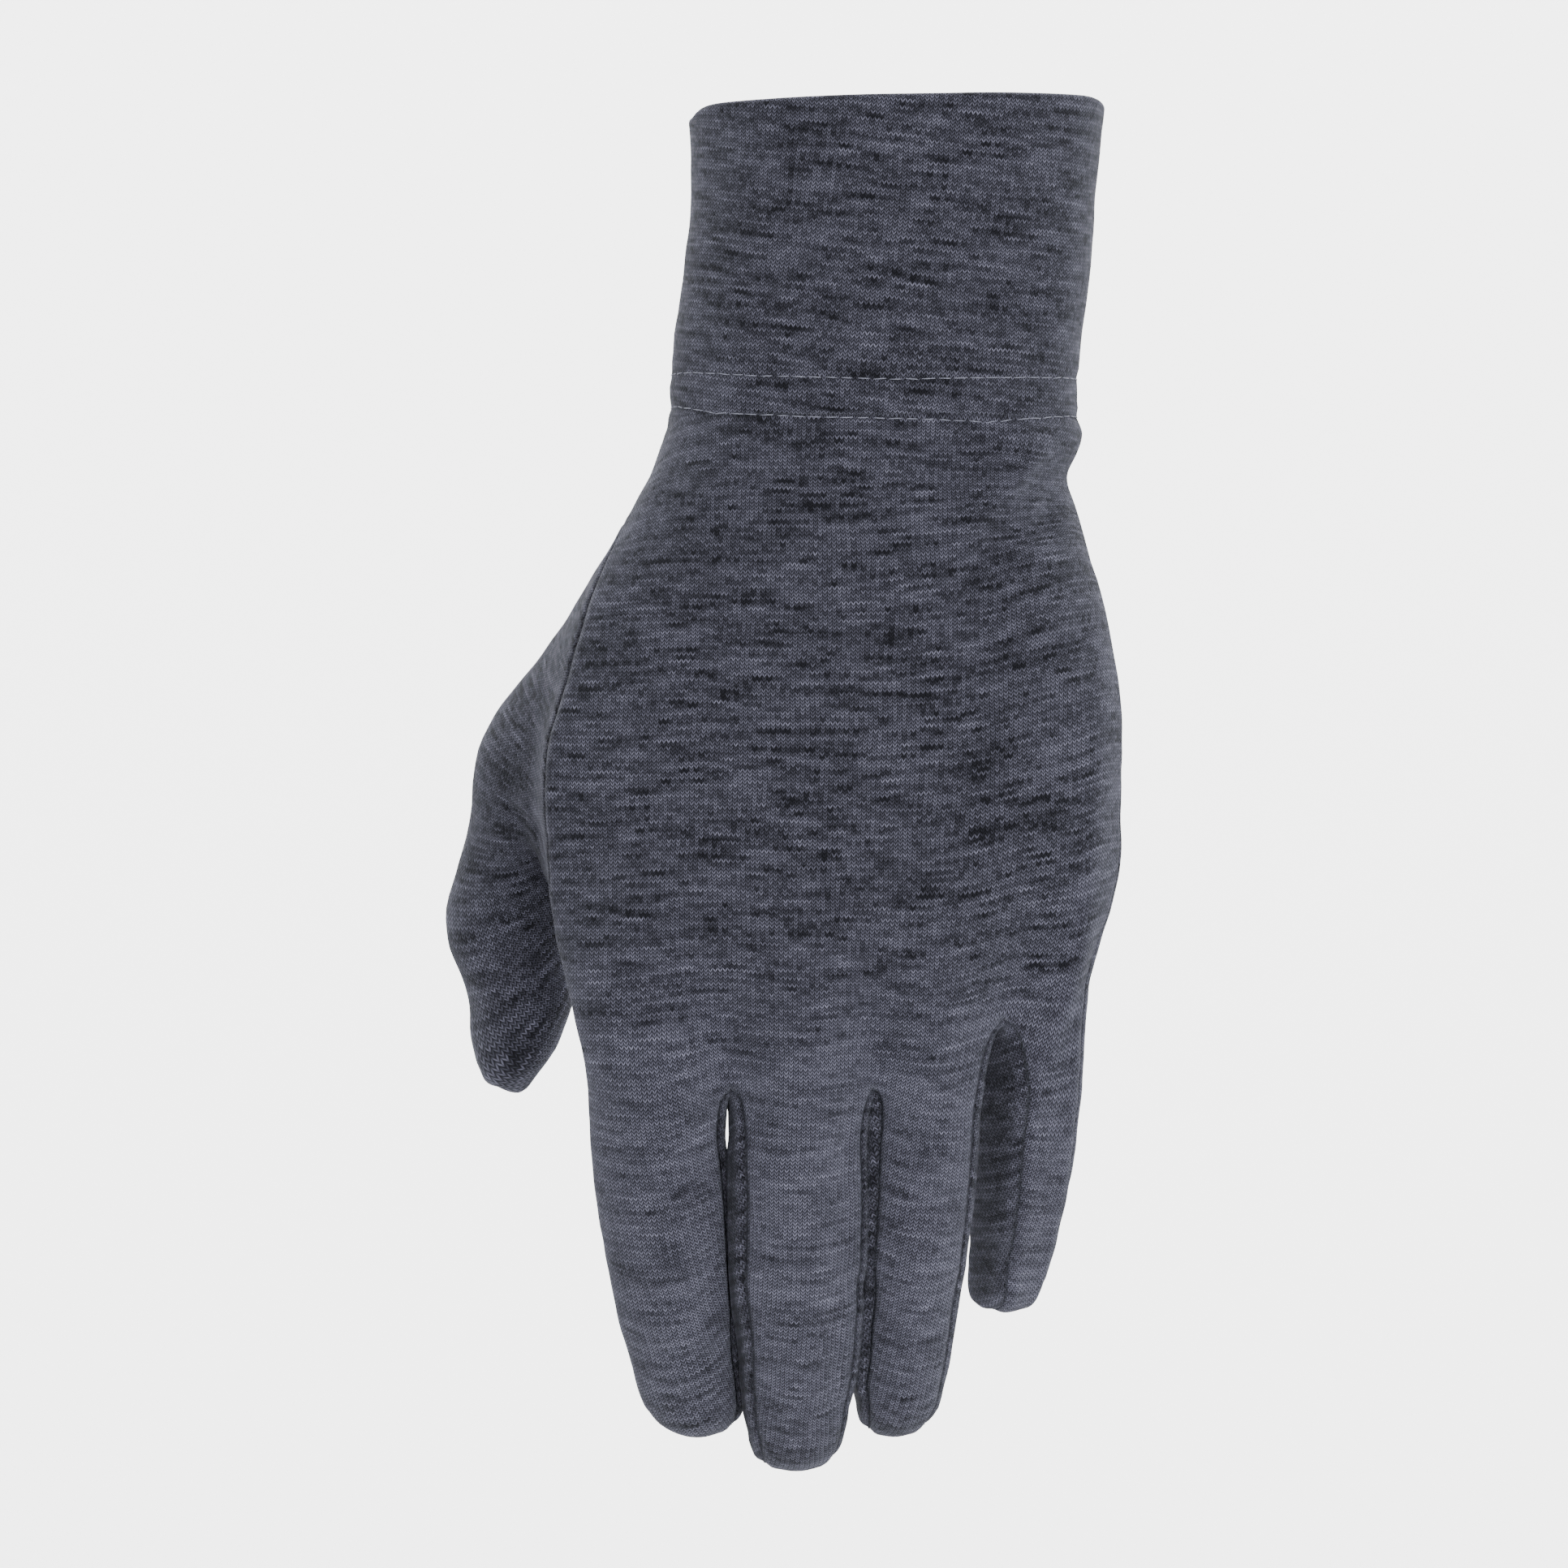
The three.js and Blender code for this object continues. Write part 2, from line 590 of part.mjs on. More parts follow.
// Splits each face into four-sided faces round its middle, as Catmull and Clark do.
function subdivide(points, cage) {
  const facePoints = cage.map(({ loop }) =>
    loop.reduce((sum, id) => sum.add(points[id]), point(0, 0, 0)).divideScalar(loop.length),
  );
  const edges = new Map();
  cage.forEach(({ loop }, face) => {
    loop.forEach((a, side) => {
      const b = loop[(side + 1) % loop.length];
      const key = a < b ? `${a} ${b}` : `${b} ${a}`;
      if (!edges.has(key)) edges.set(key, { a, b, faces: [] });
      edges.get(key).faces.push(face);
    });
  });
  const around = points.map(() => ({
    faceSum: point(0, 0, 0),
    faceCount: 0,
    middles: point(0, 0, 0),
    edgeCount: 0,
    rim: [],
  }));
  cage.forEach(({ loop }, face) => {
    loop.forEach((id) => {
      around[id].faceSum.add(facePoints[face]);
      around[id].faceCount += 1;
    });
  });
  edges.forEach((edge) => {
    const middle = points[edge.a].clone().lerp(points[edge.b], 0.5);
    [edge.a, edge.b].forEach((id) => {
      around[id].middles.add(middle);
      around[id].edgeCount += 1;
      if (edge.faces.length === 1) around[id].rim.push(middle);
    });
    edge.middle = middle;
  });
  const moved = points.map((position, id) => {
    const { faceSum, faceCount, middles, edgeCount, rim } = around[id];
    if (rim.length === 2) {
      return position.clone().lerp(rim[0].clone().lerp(rim[1], 0.5), 0.5);
    }
    return faceSum.clone().divideScalar(faceCount)
      .addScaledVector(middles, 2 / edgeCount)
      .addScaledVector(position, edgeCount - 3)
      .divideScalar(edgeCount);
  });
  const finer = [...moved];
  const faceIds = facePoints.map((position) => finer.push(position) - 1);
  edges.forEach((edge) => {
    const place = edge.middle.clone();
    if (edge.faces.length === 2) {
      const between = facePoints[edge.faces[0]].clone().lerp(facePoints[edge.faces[1]], 0.5);
      place.lerp(between, 0.5);
    }
    edge.id = finer.push(place) - 1;
  });
  const edgeId = (a, b) => edges.get(a < b ? `${a} ${b}` : `${b} ${a}`).id;
  const quads = [];
  cage.forEach(({ piece, loop }, face) => {
    loop.forEach((id, side) => {
      const next = loop[(side + 1) % loop.length];
      const before = loop[(side + loop.length - 1) % loop.length];
      quads.push({ piece, loop: [id, edgeId(id, next), faceIds[face], edgeId(before, id)] });
    });
  });
  return { points: finer, faces: quads };
}

// Moves each point of a four-sided mesh to where endless subdivision would take it.
function toLimit(points, quads) {
  const near = points.map(() => ({ edge: new Map(), opposite: point(0, 0, 0), count: 0 }));
  quads.forEach(({ loop }) => {
    loop.forEach((id, side) => {
      const next = loop[(side + 1) % 4];
      const before = loop[(side + 3) % 4];
      near[id].edge.set(next, (near[id].edge.get(next) ?? 0) + 1);
      near[id].edge.set(before, (near[id].edge.get(before) ?? 0) + 1);
      near[id].opposite.add(points[loop[(side + 2) % 4]]);
      near[id].count += 1;
    });
  });
  return points.map((position, id) => {
    const { edge, opposite, count } = near[id];
    const rim = [...edge].filter(([, uses]) => uses === 1).map(([other]) => other);
    if (rim.length === 2) {
      return position.clone().multiplyScalar(4).add(points[rim[0]]).add(points[rim[1]]).divideScalar(6);
    }
    const sum = position.clone().multiplyScalar(count * count).add(opposite);
    edge.forEach((_, other) => sum.addScaledVector(points[other], 4));
    return sum.divideScalar(count * (count + 5));
  });
}

// Moves the cage's corners until the smooth surface passes through the points of the tables.
const FIT_ROUNDS = 12;
function smoothThrough(targets, cage) {
  let control = targets.map((position) => position.clone());
  let fine = null;
  for (let round = 0; round < FIT_ROUNDS; round += 1) {
    const split = subdivide(control, cage);
    fine = { points: toLimit(split.points, split.faces), faces: split.faces };
    control = control.map((position, id) => position.clone().add(targets[id]).sub(fine.points[id]));
  }
  return fine;
}

const surface = smoothThrough(corners, faces);

// Direction out of the cloth at each point of the surface.
function outward(points, quads) {
  const normals = points.map(() => point(0, 0, 0));
  quads.forEach(({ loop }) => {
    const [a, b, c, d] = loop.map((id) => points[id]);
    const across = c.clone().sub(a).cross(d.clone().sub(b));
    loop.forEach((id) => normals[id].add(across));
  });
  return normals.map((normal) => normal.normalize());
}

const smoothNormals = outward(surface.points, surface.faces);

// Folds fade out where the cloth turns away from the back.
const FOLD_FADE = 0.5;

// Height of the cloth's folds at a point on the back, by its distance from each fold's line.
function foldHeight(position) {
  const middle = CUFF_ROWS.at(-1).lean * CUFF_LENGTH;
  return FOLDS.reduce((sum, fold) => {
    const [from, to] = [fold.from, fold.to].map(([across, along]) =>
      new THREE.Vector2(middle + across * PALM_BREADTH, -CUFF_LENGTH - along * HAND_LENGTH));
    const line = to.clone().sub(from);
    const here = new THREE.Vector2(position.x, position.z);
    const share = THREE.MathUtils.clamp(here.clone().sub(from).dot(line) / line.lengthSq(), 0, 1);
    const distance = here.distanceTo(from.addScaledVector(line, share)) / fold.reach;
    return sum + fold.height * Math.exp(-distance * distance);
  }, 0);
}

surface.points.forEach((position, id) => {
  const facesBack = smooth(0, FOLD_FADE, -smoothNormals[id].y);
  position.addScaledVector(smoothNormals[id], facesBack * foldHeight(position));
});

const normals = outward(surface.points, surface.faces);

const LEAST_MITRE = 0.15;

// Gives one piece of the surface its wall: the outer face, the inner face and the rims between.
function pieceGeometry(name, wall) {
  const quads = surface.faces.filter(({ piece }) => piece === name);
  const uses = new Map();
  quads.forEach(({ loop }) => {
    loop.forEach((a, side) => {
      const b = loop[(side + 1) % 4];
      uses.set(`${a} ${b}`, [a, b]);
    });
  });
  const rims = [...uses.values()].filter(([a, b]) => !uses.has(`${b} ${a}`));
  const before = new Map(rims.map(([a, b]) => [b, a]));
  const after = new Map(rims);
  const ownIds = [...new Set(quads.flatMap(({ loop }) => loop))];
  const place = new Map(ownIds.map((id, index) => [id, index]));
  // Each edge of the piece steps back by half of the seam's gap, with mitred corners
  const outer = ownIds.map((id) => {
    const position = surface.points[id].clone();
    if (!after.has(id)) return position;
    const arriving = position.clone().sub(surface.points[before.get(id)]);
    const leaving = surface.points[after.get(id)].clone().sub(position);
    const insideA = normals[id].clone().cross(arriving).normalize();
    const insideB = normals[id].clone().cross(leaving).normalize();
    const mitre = Math.max(1 + insideA.dot(insideB), LEAST_MITRE);
    return position.addScaledVector(insideA.add(insideB), (0.5 * SEAM_GAP) / mitre);
  });
  const inner = outer.map((position, index) =>
    position.clone().addScaledVector(normals[ownIds[index]], -wall),
  );
  const positions = [...outer, ...inner].flatMap(({ x, y, z }) => [x, y, z]);
  const depth = ownIds.length;
  const triangles = [];
  const addQuad = (a, b, c, d) => triangles.push(a, b, c, a, c, d);
  quads.forEach(({ loop }) => {
    const [a, b, c, d] = loop.map((id) => place.get(id));
    addQuad(a, b, c, d);
    addQuad(d + depth, c + depth, b + depth, a + depth);
  });
  rims.forEach(([from, to]) => {
    const a = place.get(from);
    const b = place.get(to);
    // Both pieces at a seam split its rim along the same diagonal, so that they stay clear
    if (from < to) addQuad(b, a, a + depth, b + depth);
    else addQuad(a, a + depth, b + depth, b);
  });
  const geometry = new THREE.BufferGeometry();
  geometry.setAttribute('position', new THREE.Float32BufferAttribute(positions, 3));
  geometry.setIndex(triangles);
  geometry.computeVertexNormals();
  return geometry;
}

const PIECES = [
  { name: 'cuff', wall: CUFF_WALL },
  { name: 'back_panel', wall: HAND_WALL },
  { name: 'palm_panel', wall: HAND_WALL },
  { name: fourchette(0), wall: HAND_WALL },
  { name: fourchette(1), wall: HAND_WALL },
  { name: fourchette(2), wall: HAND_WALL },
  { name: 'thumb', wall: HAND_WALL },
];

const glove = new THREE.Group();
glove.name = 'glove_liner';
PIECES.forEach(({ name, wall }) => {
  const cloth = new THREE.MeshStandardMaterial({
    color: CLOTH_COLOUR,
    roughness: CLOTH_ROUGHNESS,
    metalness: 0,
  });
  const mesh = new THREE.Mesh(pieceGeometry(name, wall), cloth);
  mesh.name = name;
  glove.add(mesh);
});

export default glove;
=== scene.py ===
# %% [markdown]
# # A knitted glove liner
#
# This lesson dresses a simple solid model of a glove liner in cloth: a fine heathered jersey, with
# seams, stitches and folds. The solid model is loaded first and never changed. Everything that
# shows is made here, in metres, round those solids.

# %% Load the solids
import json
import math

import bmesh
import bpy
import numpy as np
from mathutils import Matrix, Vector, noise as smooth_noise
from mathutils.bvhtree import BVHTree
from mathutils.kdtree import KDTree

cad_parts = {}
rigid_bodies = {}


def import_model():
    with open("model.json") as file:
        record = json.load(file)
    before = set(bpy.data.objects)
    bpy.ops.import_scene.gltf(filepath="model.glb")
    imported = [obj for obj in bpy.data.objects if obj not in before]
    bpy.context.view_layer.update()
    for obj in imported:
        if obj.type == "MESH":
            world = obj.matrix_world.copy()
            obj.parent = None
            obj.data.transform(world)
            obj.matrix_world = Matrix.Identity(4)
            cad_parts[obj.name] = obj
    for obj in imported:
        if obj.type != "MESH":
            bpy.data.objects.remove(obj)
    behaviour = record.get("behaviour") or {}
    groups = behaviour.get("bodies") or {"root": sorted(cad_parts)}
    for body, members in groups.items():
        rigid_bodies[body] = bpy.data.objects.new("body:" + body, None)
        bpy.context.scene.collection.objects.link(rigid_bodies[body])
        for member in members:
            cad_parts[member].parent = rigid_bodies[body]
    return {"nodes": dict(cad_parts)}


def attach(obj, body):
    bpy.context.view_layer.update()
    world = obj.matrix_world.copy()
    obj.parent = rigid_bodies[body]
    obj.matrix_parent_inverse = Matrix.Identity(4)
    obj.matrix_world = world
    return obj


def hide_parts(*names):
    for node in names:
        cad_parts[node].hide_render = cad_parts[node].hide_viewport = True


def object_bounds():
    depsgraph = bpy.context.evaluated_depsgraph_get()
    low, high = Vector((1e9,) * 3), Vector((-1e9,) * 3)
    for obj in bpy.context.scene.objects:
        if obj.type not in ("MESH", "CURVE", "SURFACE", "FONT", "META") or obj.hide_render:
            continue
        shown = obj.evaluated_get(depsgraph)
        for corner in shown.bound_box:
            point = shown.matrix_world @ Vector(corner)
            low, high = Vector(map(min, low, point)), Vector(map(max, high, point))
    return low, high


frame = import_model()
cad_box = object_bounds()
MM = 0.001
print("solids:", sorted(frame["nodes"]))

# %% [markdown]
# ## Camera
#
# The photograph was taken square on to the back of the hand, from some way off, so the camera
# looks straight along +Y with a long lens. One pixel of its 1932 is 0.135 mm at the cloth, and the
# middle of the picture lies a little left of the glove and halfway down it.

# %% Camera
PIXEL = 0.135 * MM
PICTURE = 1932
MOUTH_PX = (1105, 122)
CAMERA_DISTANCE = 1.8
SENSOR = 36.0
SIGHT = 20.0


def from_photo(px, py):
    """Where a pixel of the photograph lies across the glove's own upright plane."""
    return (px - MOUTH_PX[0]) * PIXEL, (MOUTH_PX[1] - py) * PIXEL


centre_x, centre_z = from_photo(PICTURE / 2, PICTURE / 2)
bpy.ops.object.camera_add(location=(centre_x, -CAMERA_DISTANCE, centre_z),
                          rotation=(math.pi / 2, 0, 0))
camera = bpy.context.object
camera.name = "camera"
camera.data.sensor_width = SENSOR
camera.data.lens = SENSOR * CAMERA_DISTANCE / (PICTURE * PIXEL)
camera.data.clip_end = SIGHT
bpy.context.scene.camera = camera
print("lens in mm:", round(camera.data.lens, 1))

# %% [markdown]
# ## Studio
#
# The glove hangs upright in front of a white wall that glows a little. The floor lies far below and
# is grey, so that it doesn't light the fingertips from below. One soft light stands in front and
# low, because in the photograph the fingers are lighter than the back of the hand. Weaker ones fill
# the right side and the top, and one lights the wall. Floor and wall aren't part of the object.

# %% Floor, wall and lights
FLOOR_DROP = 0.35
FLOOR_SIZE = 12.0
WALL_BEHIND = 2.2
PAPER_WHITE = (0.9, 0.9, 0.9, 1)
FELT_GREY = (0.4, 0.4, 0.4, 1)
WALL_GLOW = 3.0
ROOM_LIGHT = 0.6


def select_only(*objects):
    """Leaves just these objects selected, with the first one active."""
    bpy.ops.object.select_all(action="DESELECT")
    for item in objects:
        item.select_set(True)
    bpy.context.view_layer.objects.active = objects[0]


paper = bpy.data.materials.new("studio_paper")
paper.use_nodes = True
paper_shader = paper.node_tree.nodes["Principled BSDF"]
paper_shader.inputs["Base Color"].default_value = PAPER_WHITE
paper_shader.inputs["Roughness"].default_value = 0.9
paper_shader.inputs["Specular IOR Level"].default_value = 0.1
paper_shader.inputs["Emission Color"].default_value = (1, 1, 1, 1)
paper_shader.inputs["Emission Strength"].default_value = WALL_GLOW

floor_z = cad_box[0][2] - FLOOR_DROP
bpy.ops.mesh.primitive_plane_add(size=FLOOR_SIZE, location=(0, 0, floor_z))
floor = bpy.context.object
floor.name = "floor"
bpy.ops.mesh.primitive_plane_add(size=FLOOR_SIZE, location=(0, WALL_BEHIND, floor_z),
                                 rotation=(math.pi / 2, 0, 0))
wall = bpy.context.object
wall.name = "wall"
felt = paper.copy()
felt.name = "floor_felt"
felt_shader = felt.node_tree.nodes["Principled BSDF"]
felt_shader.inputs["Base Color"].default_value = FELT_GREY
felt_shader.inputs["Emission Strength"].default_value = 0
for backdrop, finish in ((floor, felt), (wall, paper)):
    backdrop.data.materials.append(finish)


def soft_light(name, place, aim, size, watts):
    """A square area light that looks from one place to another."""
    bpy.ops.object.light_add(type="AREA", location=place)
    lamp = bpy.context.object
    lamp.name = name
    lamp.data.shape = "SQUARE"
    lamp.data.size = size
    lamp.data.energy = watts
    lamp.rotation_euler = (Vector(aim) - Vector(place)).to_track_quat("-Z", "Y").to_euler()
    print(name, "light of", watts, "watts")


view_middle = (centre_x, 0, centre_z)
soft_light("key", (0.15, -0.95, -0.48), (0.02, 0, -0.17), size=0.45, watts=9)
soft_light("side", (1.0, -0.9, 0.2), view_middle, size=0.7, watts=4)
soft_light("top", (0.0, -0.2, 1.4), view_middle, size=1.2, watts=8)
soft_light("back_light", (0.0, 0.9, 1.1), (0, 2.0, -0.2), size=2.0, watts=60)

world = bpy.data.worlds.new("studio_light")
bpy.context.scene.world = world
world.use_nodes = True
world.node_tree.nodes["Background"].inputs["Color"].default_value = (1, 1, 1, 1)
world.node_tree.nodes["Background"].inputs["Strength"].default_value = ROOM_LIGHT

# %% [markdown]
# ## The sewn shell
#
# The real liner is jersey cut in panels: a back, a palm, three strips between the fingers, a thumb
# and a doubled cuff, sewn edge to edge. Each could be modelled alone, but then the folds would
# stop at every seam. So the outer faces of the seven solids are copied, welded to one skin and
# smoothed together, and that skin is cut up into its panels again at the end.

# %% Copy the outer faces of the solids
PANELS = ["cuff", "back_panel", "palm_panel", "fourchette_index_middle",
          "fourchette_middle_ring", "fourchette_ring_little", "thumb"]
SAME_POINT = 0.005 * MM
OFF_SURFACE = 0.05 * MM
CLOTH_WALLS = {"cuff": 2.0 * MM}
THIN_WALL = 1.2 * MM
WALL_MATCH = 0.001 * MM
FACES_TRIED = 40
WAYS_OUT = 9
WAY_TURN = 2.4
WAY_LOWEST = -0.9
WAY_SPAN = 1.3
QUAD_ANGLE = math.radians(175)
QUAD_ORDER = 1.6

solid_trees = {}
for name in PANELS:
    whole = bmesh.new()
    whole.from_mesh(frame["nodes"][name].data)
    solid_trees[name] = BVHTree.FromBMesh(whole)
    whole.free()


def faces_met(start, way):
    """How many faces of the solids a ray meets."""
    count = 0
    for tree in solid_trees.values():
        hit = tree.ray_cast(start, way)
        while hit[0] is not None:
            count += 1
            hit = tree.ray_cast(hit[0] + way * OFF_SURFACE, way)
    return count


def is_outside(start):
    """Outside the glove, most rays meet its walls an even number of times."""
    even = 0
    for number in range(WAYS_OUT):
        turn = WAY_TURN * number
        height = WAY_LOWEST + WAY_SPAN * number / WAYS_OUT
        level = math.sqrt(1 - height * height)
        way = Vector((level * math.cos(turn), level * math.sin(turn), height))
        even += faces_met(start, way) // 2 % 2 == 0
    return 2 * even > WAYS_OUT


def outer_faces(mesh, wall):
    """The outer face of a closed shell of cloth. Its rim is known by edges as long as the wall."""
    rim = {face for face in mesh.faces
           if any(abs(edge.calc_length() - wall) < WALL_MATCH for edge in face.edges)}
    seen = set(rim)
    outer = set()
    for first in mesh.faces:
        if first in seen:
            continue
        seen.add(first)
        group, waiting = [], [first]
        while waiting:
            face = waiting.pop()
            group.append(face)
            near = {other for edge in face.edges for other in edge.link_faces} - seen
            seen |= near
            waiting.extend(near)
        tried = group[::max(1, len(group) // FACES_TRIED)]
        votes = [is_outside(face.calc_center_median() + face.normal * OFF_SURFACE)
                 for face in tried]
        if 2 * sum(votes) > len(votes):
            outer.update(group)
    for face in rim:
        near = {other for edge in face.edges for other in edge.link_faces} & (outer - rim)
        if len(near) > 1:
            outer.add(face)
    return outer


def outer_copy(name):
    """A copy of a solid that keeps only the cloth's outer face."""
    select_only(frame["nodes"][name])
    bpy.ops.object.duplicate()
    copy = bpy.context.object
    bpy.ops.object.parent_clear(type="CLEAR_KEEP_TRANSFORM")
    copy.name = name + "_skin"
    bpy.ops.object.mode_set(mode="EDIT")
    bpy.ops.mesh.select_all(action="SELECT")
    bpy.ops.mesh.remove_doubles(threshold=SAME_POINT)
    bpy.ops.mesh.select_mode(type="FACE")
    bpy.ops.mesh.select_all(action="DESELECT")
    mesh = bmesh.from_edit_mesh(copy.data)
    mesh.normal_update()
    kept = outer_faces(mesh, CLOTH_WALLS.get(name, THIN_WALL))
    print(name, "outer faces:", len(kept), end=", ")
    for face in mesh.faces:
        face.select = face not in kept
    bmesh.update_edit_mesh(copy.data)
    bpy.ops.mesh.delete(type="FACE")
    bpy.ops.mesh.select_all(action="SELECT")
    bpy.ops.mesh.tris_convert_to_quads(face_threshold=QUAD_ANGLE, shape_threshold=QUAD_ANGLE,
                                       topology_influence=QUAD_ORDER)
    bpy.ops.object.mode_set(mode="OBJECT")
    quads = sum(len(face.vertices) == 4 for face in copy.data.polygons)
    print("joined to", len(copy.data.polygons), "of them four-sided:", quads)
    return copy


skins = [outer_copy(name) for name in PANELS]
cloths = {}
for name, copy in zip(PANELS, skins):
    cloths[name] = bpy.data.materials.new(name + "_cloth")
    copy.data.materials.clear()
    copy.data.materials.append(cloths[name])

# %% [markdown]
# The seven faces lie 0.3 mm apart at the seams. Joined, their open edges are merged across that
# gap, which leaves one skin with a single opening, the cuff mouth. Each face keeps its panel's
# material, so the seams are still known as the edges where two materials meet.

# %% Weld the panels to one skin
SEAM_REACH = [0.5 * MM, 1.0 * MM]
MOUTH_BAND = 3 * MM

select_only(*skins)
bpy.ops.object.join()
skin = bpy.context.object
skin.name = "skin"


def open_corners(mesh):
    """Corners on an open edge below the cuff mouth."""
    top = max(vertex.co.z for vertex in mesh.verts)
    return [vertex for vertex in mesh.verts
            if vertex.is_boundary and vertex.co.z < top - MOUTH_BAND]


bpy.ops.object.mode_set(mode="EDIT")
bpy.ops.mesh.select_mode(type="VERT")
for reach in SEAM_REACH:
    bpy.ops.mesh.select_all(action="DESELECT")
    mesh = bmesh.from_edit_mesh(skin.data)
    for vertex in open_corners(mesh):
        vertex.select = True
    bmesh.update_edit_mesh(skin.data)
    bpy.ops.mesh.remove_doubles(threshold=reach)
    print("open corners left:", len(open_corners(bmesh.from_edit_mesh(skin.data))))
bpy.ops.object.mode_set(mode="OBJECT")
odd = [len(face.vertices) for face in skin.data.polygons if len(face.vertices) != 4]
print("skin faces:", len(skin.data.polygons), "not four-sided:", len(odd))

# %% [markdown]
# ## Seams and a flat pattern
#
# Knitting has a grain: columns of stitches, called wales, run along the hand, and rows, called
# courses, run across it. Each panel was cut from flat cloth, so each is unwrapped flat, with a cut
# down the side of the cuff and one along the thumb, where the real ones are sewn. Then its flat
# shape is given its real size and turned so that the wales run up. The knit is drawn on that.

# %% Mark the seams
def panel_of(face):
    """The name of the panel that a face of the skin belongs to."""
    return skin.data.materials[face.material_index].name.removesuffix("_cloth")


bpy.ops.object.mode_set(mode="EDIT")
bpy.ops.mesh.select_mode(type="EDGE")
bpy.ops.mesh.select_all(action="DESELECT")
mesh = bmesh.from_edit_mesh(skin.data)
for edge in mesh.edges:
    if len({face.material_index for face in edge.link_faces}) > 1:
        edge.select = True
bmesh.update_edit_mesh(skin.data)
bpy.ops.mesh.mark_seam()
print("edges on a seam:", sum(edge.select for edge in mesh.edges))

# %% Cut the cuff and the thumb open along one side
THUMB_CUT_FROM = Vector((-42, 6, -131)) * MM
CUT_NEAR = 1 * MM

mesh = bmesh.from_edit_mesh(skin.data)


def walk(start, goal):
    """Selects edges one after another towards a goal, each from a corner not yet passed."""
    here, passed = start, {start}
    while (here.co - goal).length > CUT_NEAR:
        edges = [edge for edge in here.link_edges if edge.other_vert(here) not in passed]
        if not edges:
            break
        ahead = (goal - here.co).normalized()
        edge = max(edges, key=lambda e: (e.other_vert(here).co - here.co).normalized().dot(ahead))
        edge.select = True
        here = edge.other_vert(here)
        passed.add(here)
    print("cut of", len(passed), "corners ends", round((here.co - goal).length / MM, 1), "mm off")


bpy.ops.mesh.select_all(action="DESELECT")
panels_at = {vertex: {panel_of(face) for face in vertex.link_faces} for vertex in mesh.verts}
cuff_corners = [vertex for vertex, names in panels_at.items()
                if names == {"cuff", "back_panel", "palm_panel"}]
cuff_corner = min(cuff_corners, key=lambda vertex: vertex.co.x)
mouth_rim = [vertex for vertex in mesh.verts if vertex.is_boundary]
cuff_top = min(mouth_rim, key=lambda vertex: (vertex.co.xy - cuff_corner.co.xy).length)
walk(cuff_corner, cuff_top.co)

thumb_rim = [vertex for vertex, names in panels_at.items() if names == {"thumb", "palm_panel"}]
thumb_corner = min(thumb_rim, key=lambda vertex: (vertex.co - THUMB_CUT_FROM).length)
thumb_inside = [vertex for vertex, names in panels_at.items() if names == {"thumb"}]
thumb_tip = min(thumb_inside, key=lambda vertex: vertex.co.z)
walk(thumb_corner, thumb_tip.co)
bmesh.update_edit_mesh(skin.data)
bpy.ops.mesh.mark_seam()
bpy.ops.mesh.select_mode(type="FACE")
bpy.ops.mesh.select_all(action="SELECT")
bpy.ops.uv.unwrap(method="ANGLE_BASED", margin=0.01)
bpy.ops.object.mode_set(mode="OBJECT")

# %% Give each flat panel its real size and grain
flat = skin.data.uv_layers.active
flat.name = "cloth"
places = np.array([vertex.co for vertex in skin.data.vertices])
uv = np.zeros(2 * len(skin.data.loops))
flat.uv.foreach_get("vector", uv)
uv = uv.reshape(-1, 2)


def polygon_area(points):
    """The area of a flat or a nearly flat polygon in two or three dimensions."""
    wide = np.zeros((len(points), 3))
    wide[:, :points.shape[1]] = points
    turned = np.cross(wide[1:-1] - wide[0], wide[2:] - wide[0])
    return 0.5 * np.linalg.norm(turned.sum(axis=0))


for number, name in enumerate(PANELS):
    own = [face for face in skin.data.polygons if face.material_index == number]
    loops = np.concatenate([list(face.loop_indices) for face in own])
    corners_3d = places[[skin.data.loops[loop].vertex_index for loop in loops]]
    real = sum(polygon_area(places[list(face.vertices)]) for face in own)
    flat_area = sum(polygon_area(uv[list(face.loop_indices)]) for face in own)
    scale = math.sqrt(real / flat_area)
    terms = np.column_stack([uv[loops], np.ones(len(loops))])
    rise = np.linalg.lstsq(terms, corners_3d[:, 2], rcond=None)[0][:2]
    turn = math.atan2(rise[0], rise[1])
    grain = scale * np.array([[math.cos(turn), -math.sin(turn)], [math.sin(turn), math.cos(turn)]])
    uv[loops] = (uv[loops] - uv[loops].mean(axis=0)) @ grain.T
    size = np.ptp(uv[loops], axis=0) / MM
    print(name, "real area in square cm:", round(real * 1e4, 1), "flat size in mm:", size.round(0))
flat.uv.foreach_set("vector", uv.ravel())

# %% [markdown]
# ## Smoothing
#
# Subdivision would shrink the skin, because it pulls every corner in. So the corners are first
# pushed out until the smooth surface passes through the places that the solids gave them.

# %% Smooth the skin without shrinking it
FIT_ROUNDS = 8
SKIN_LEVELS = 2

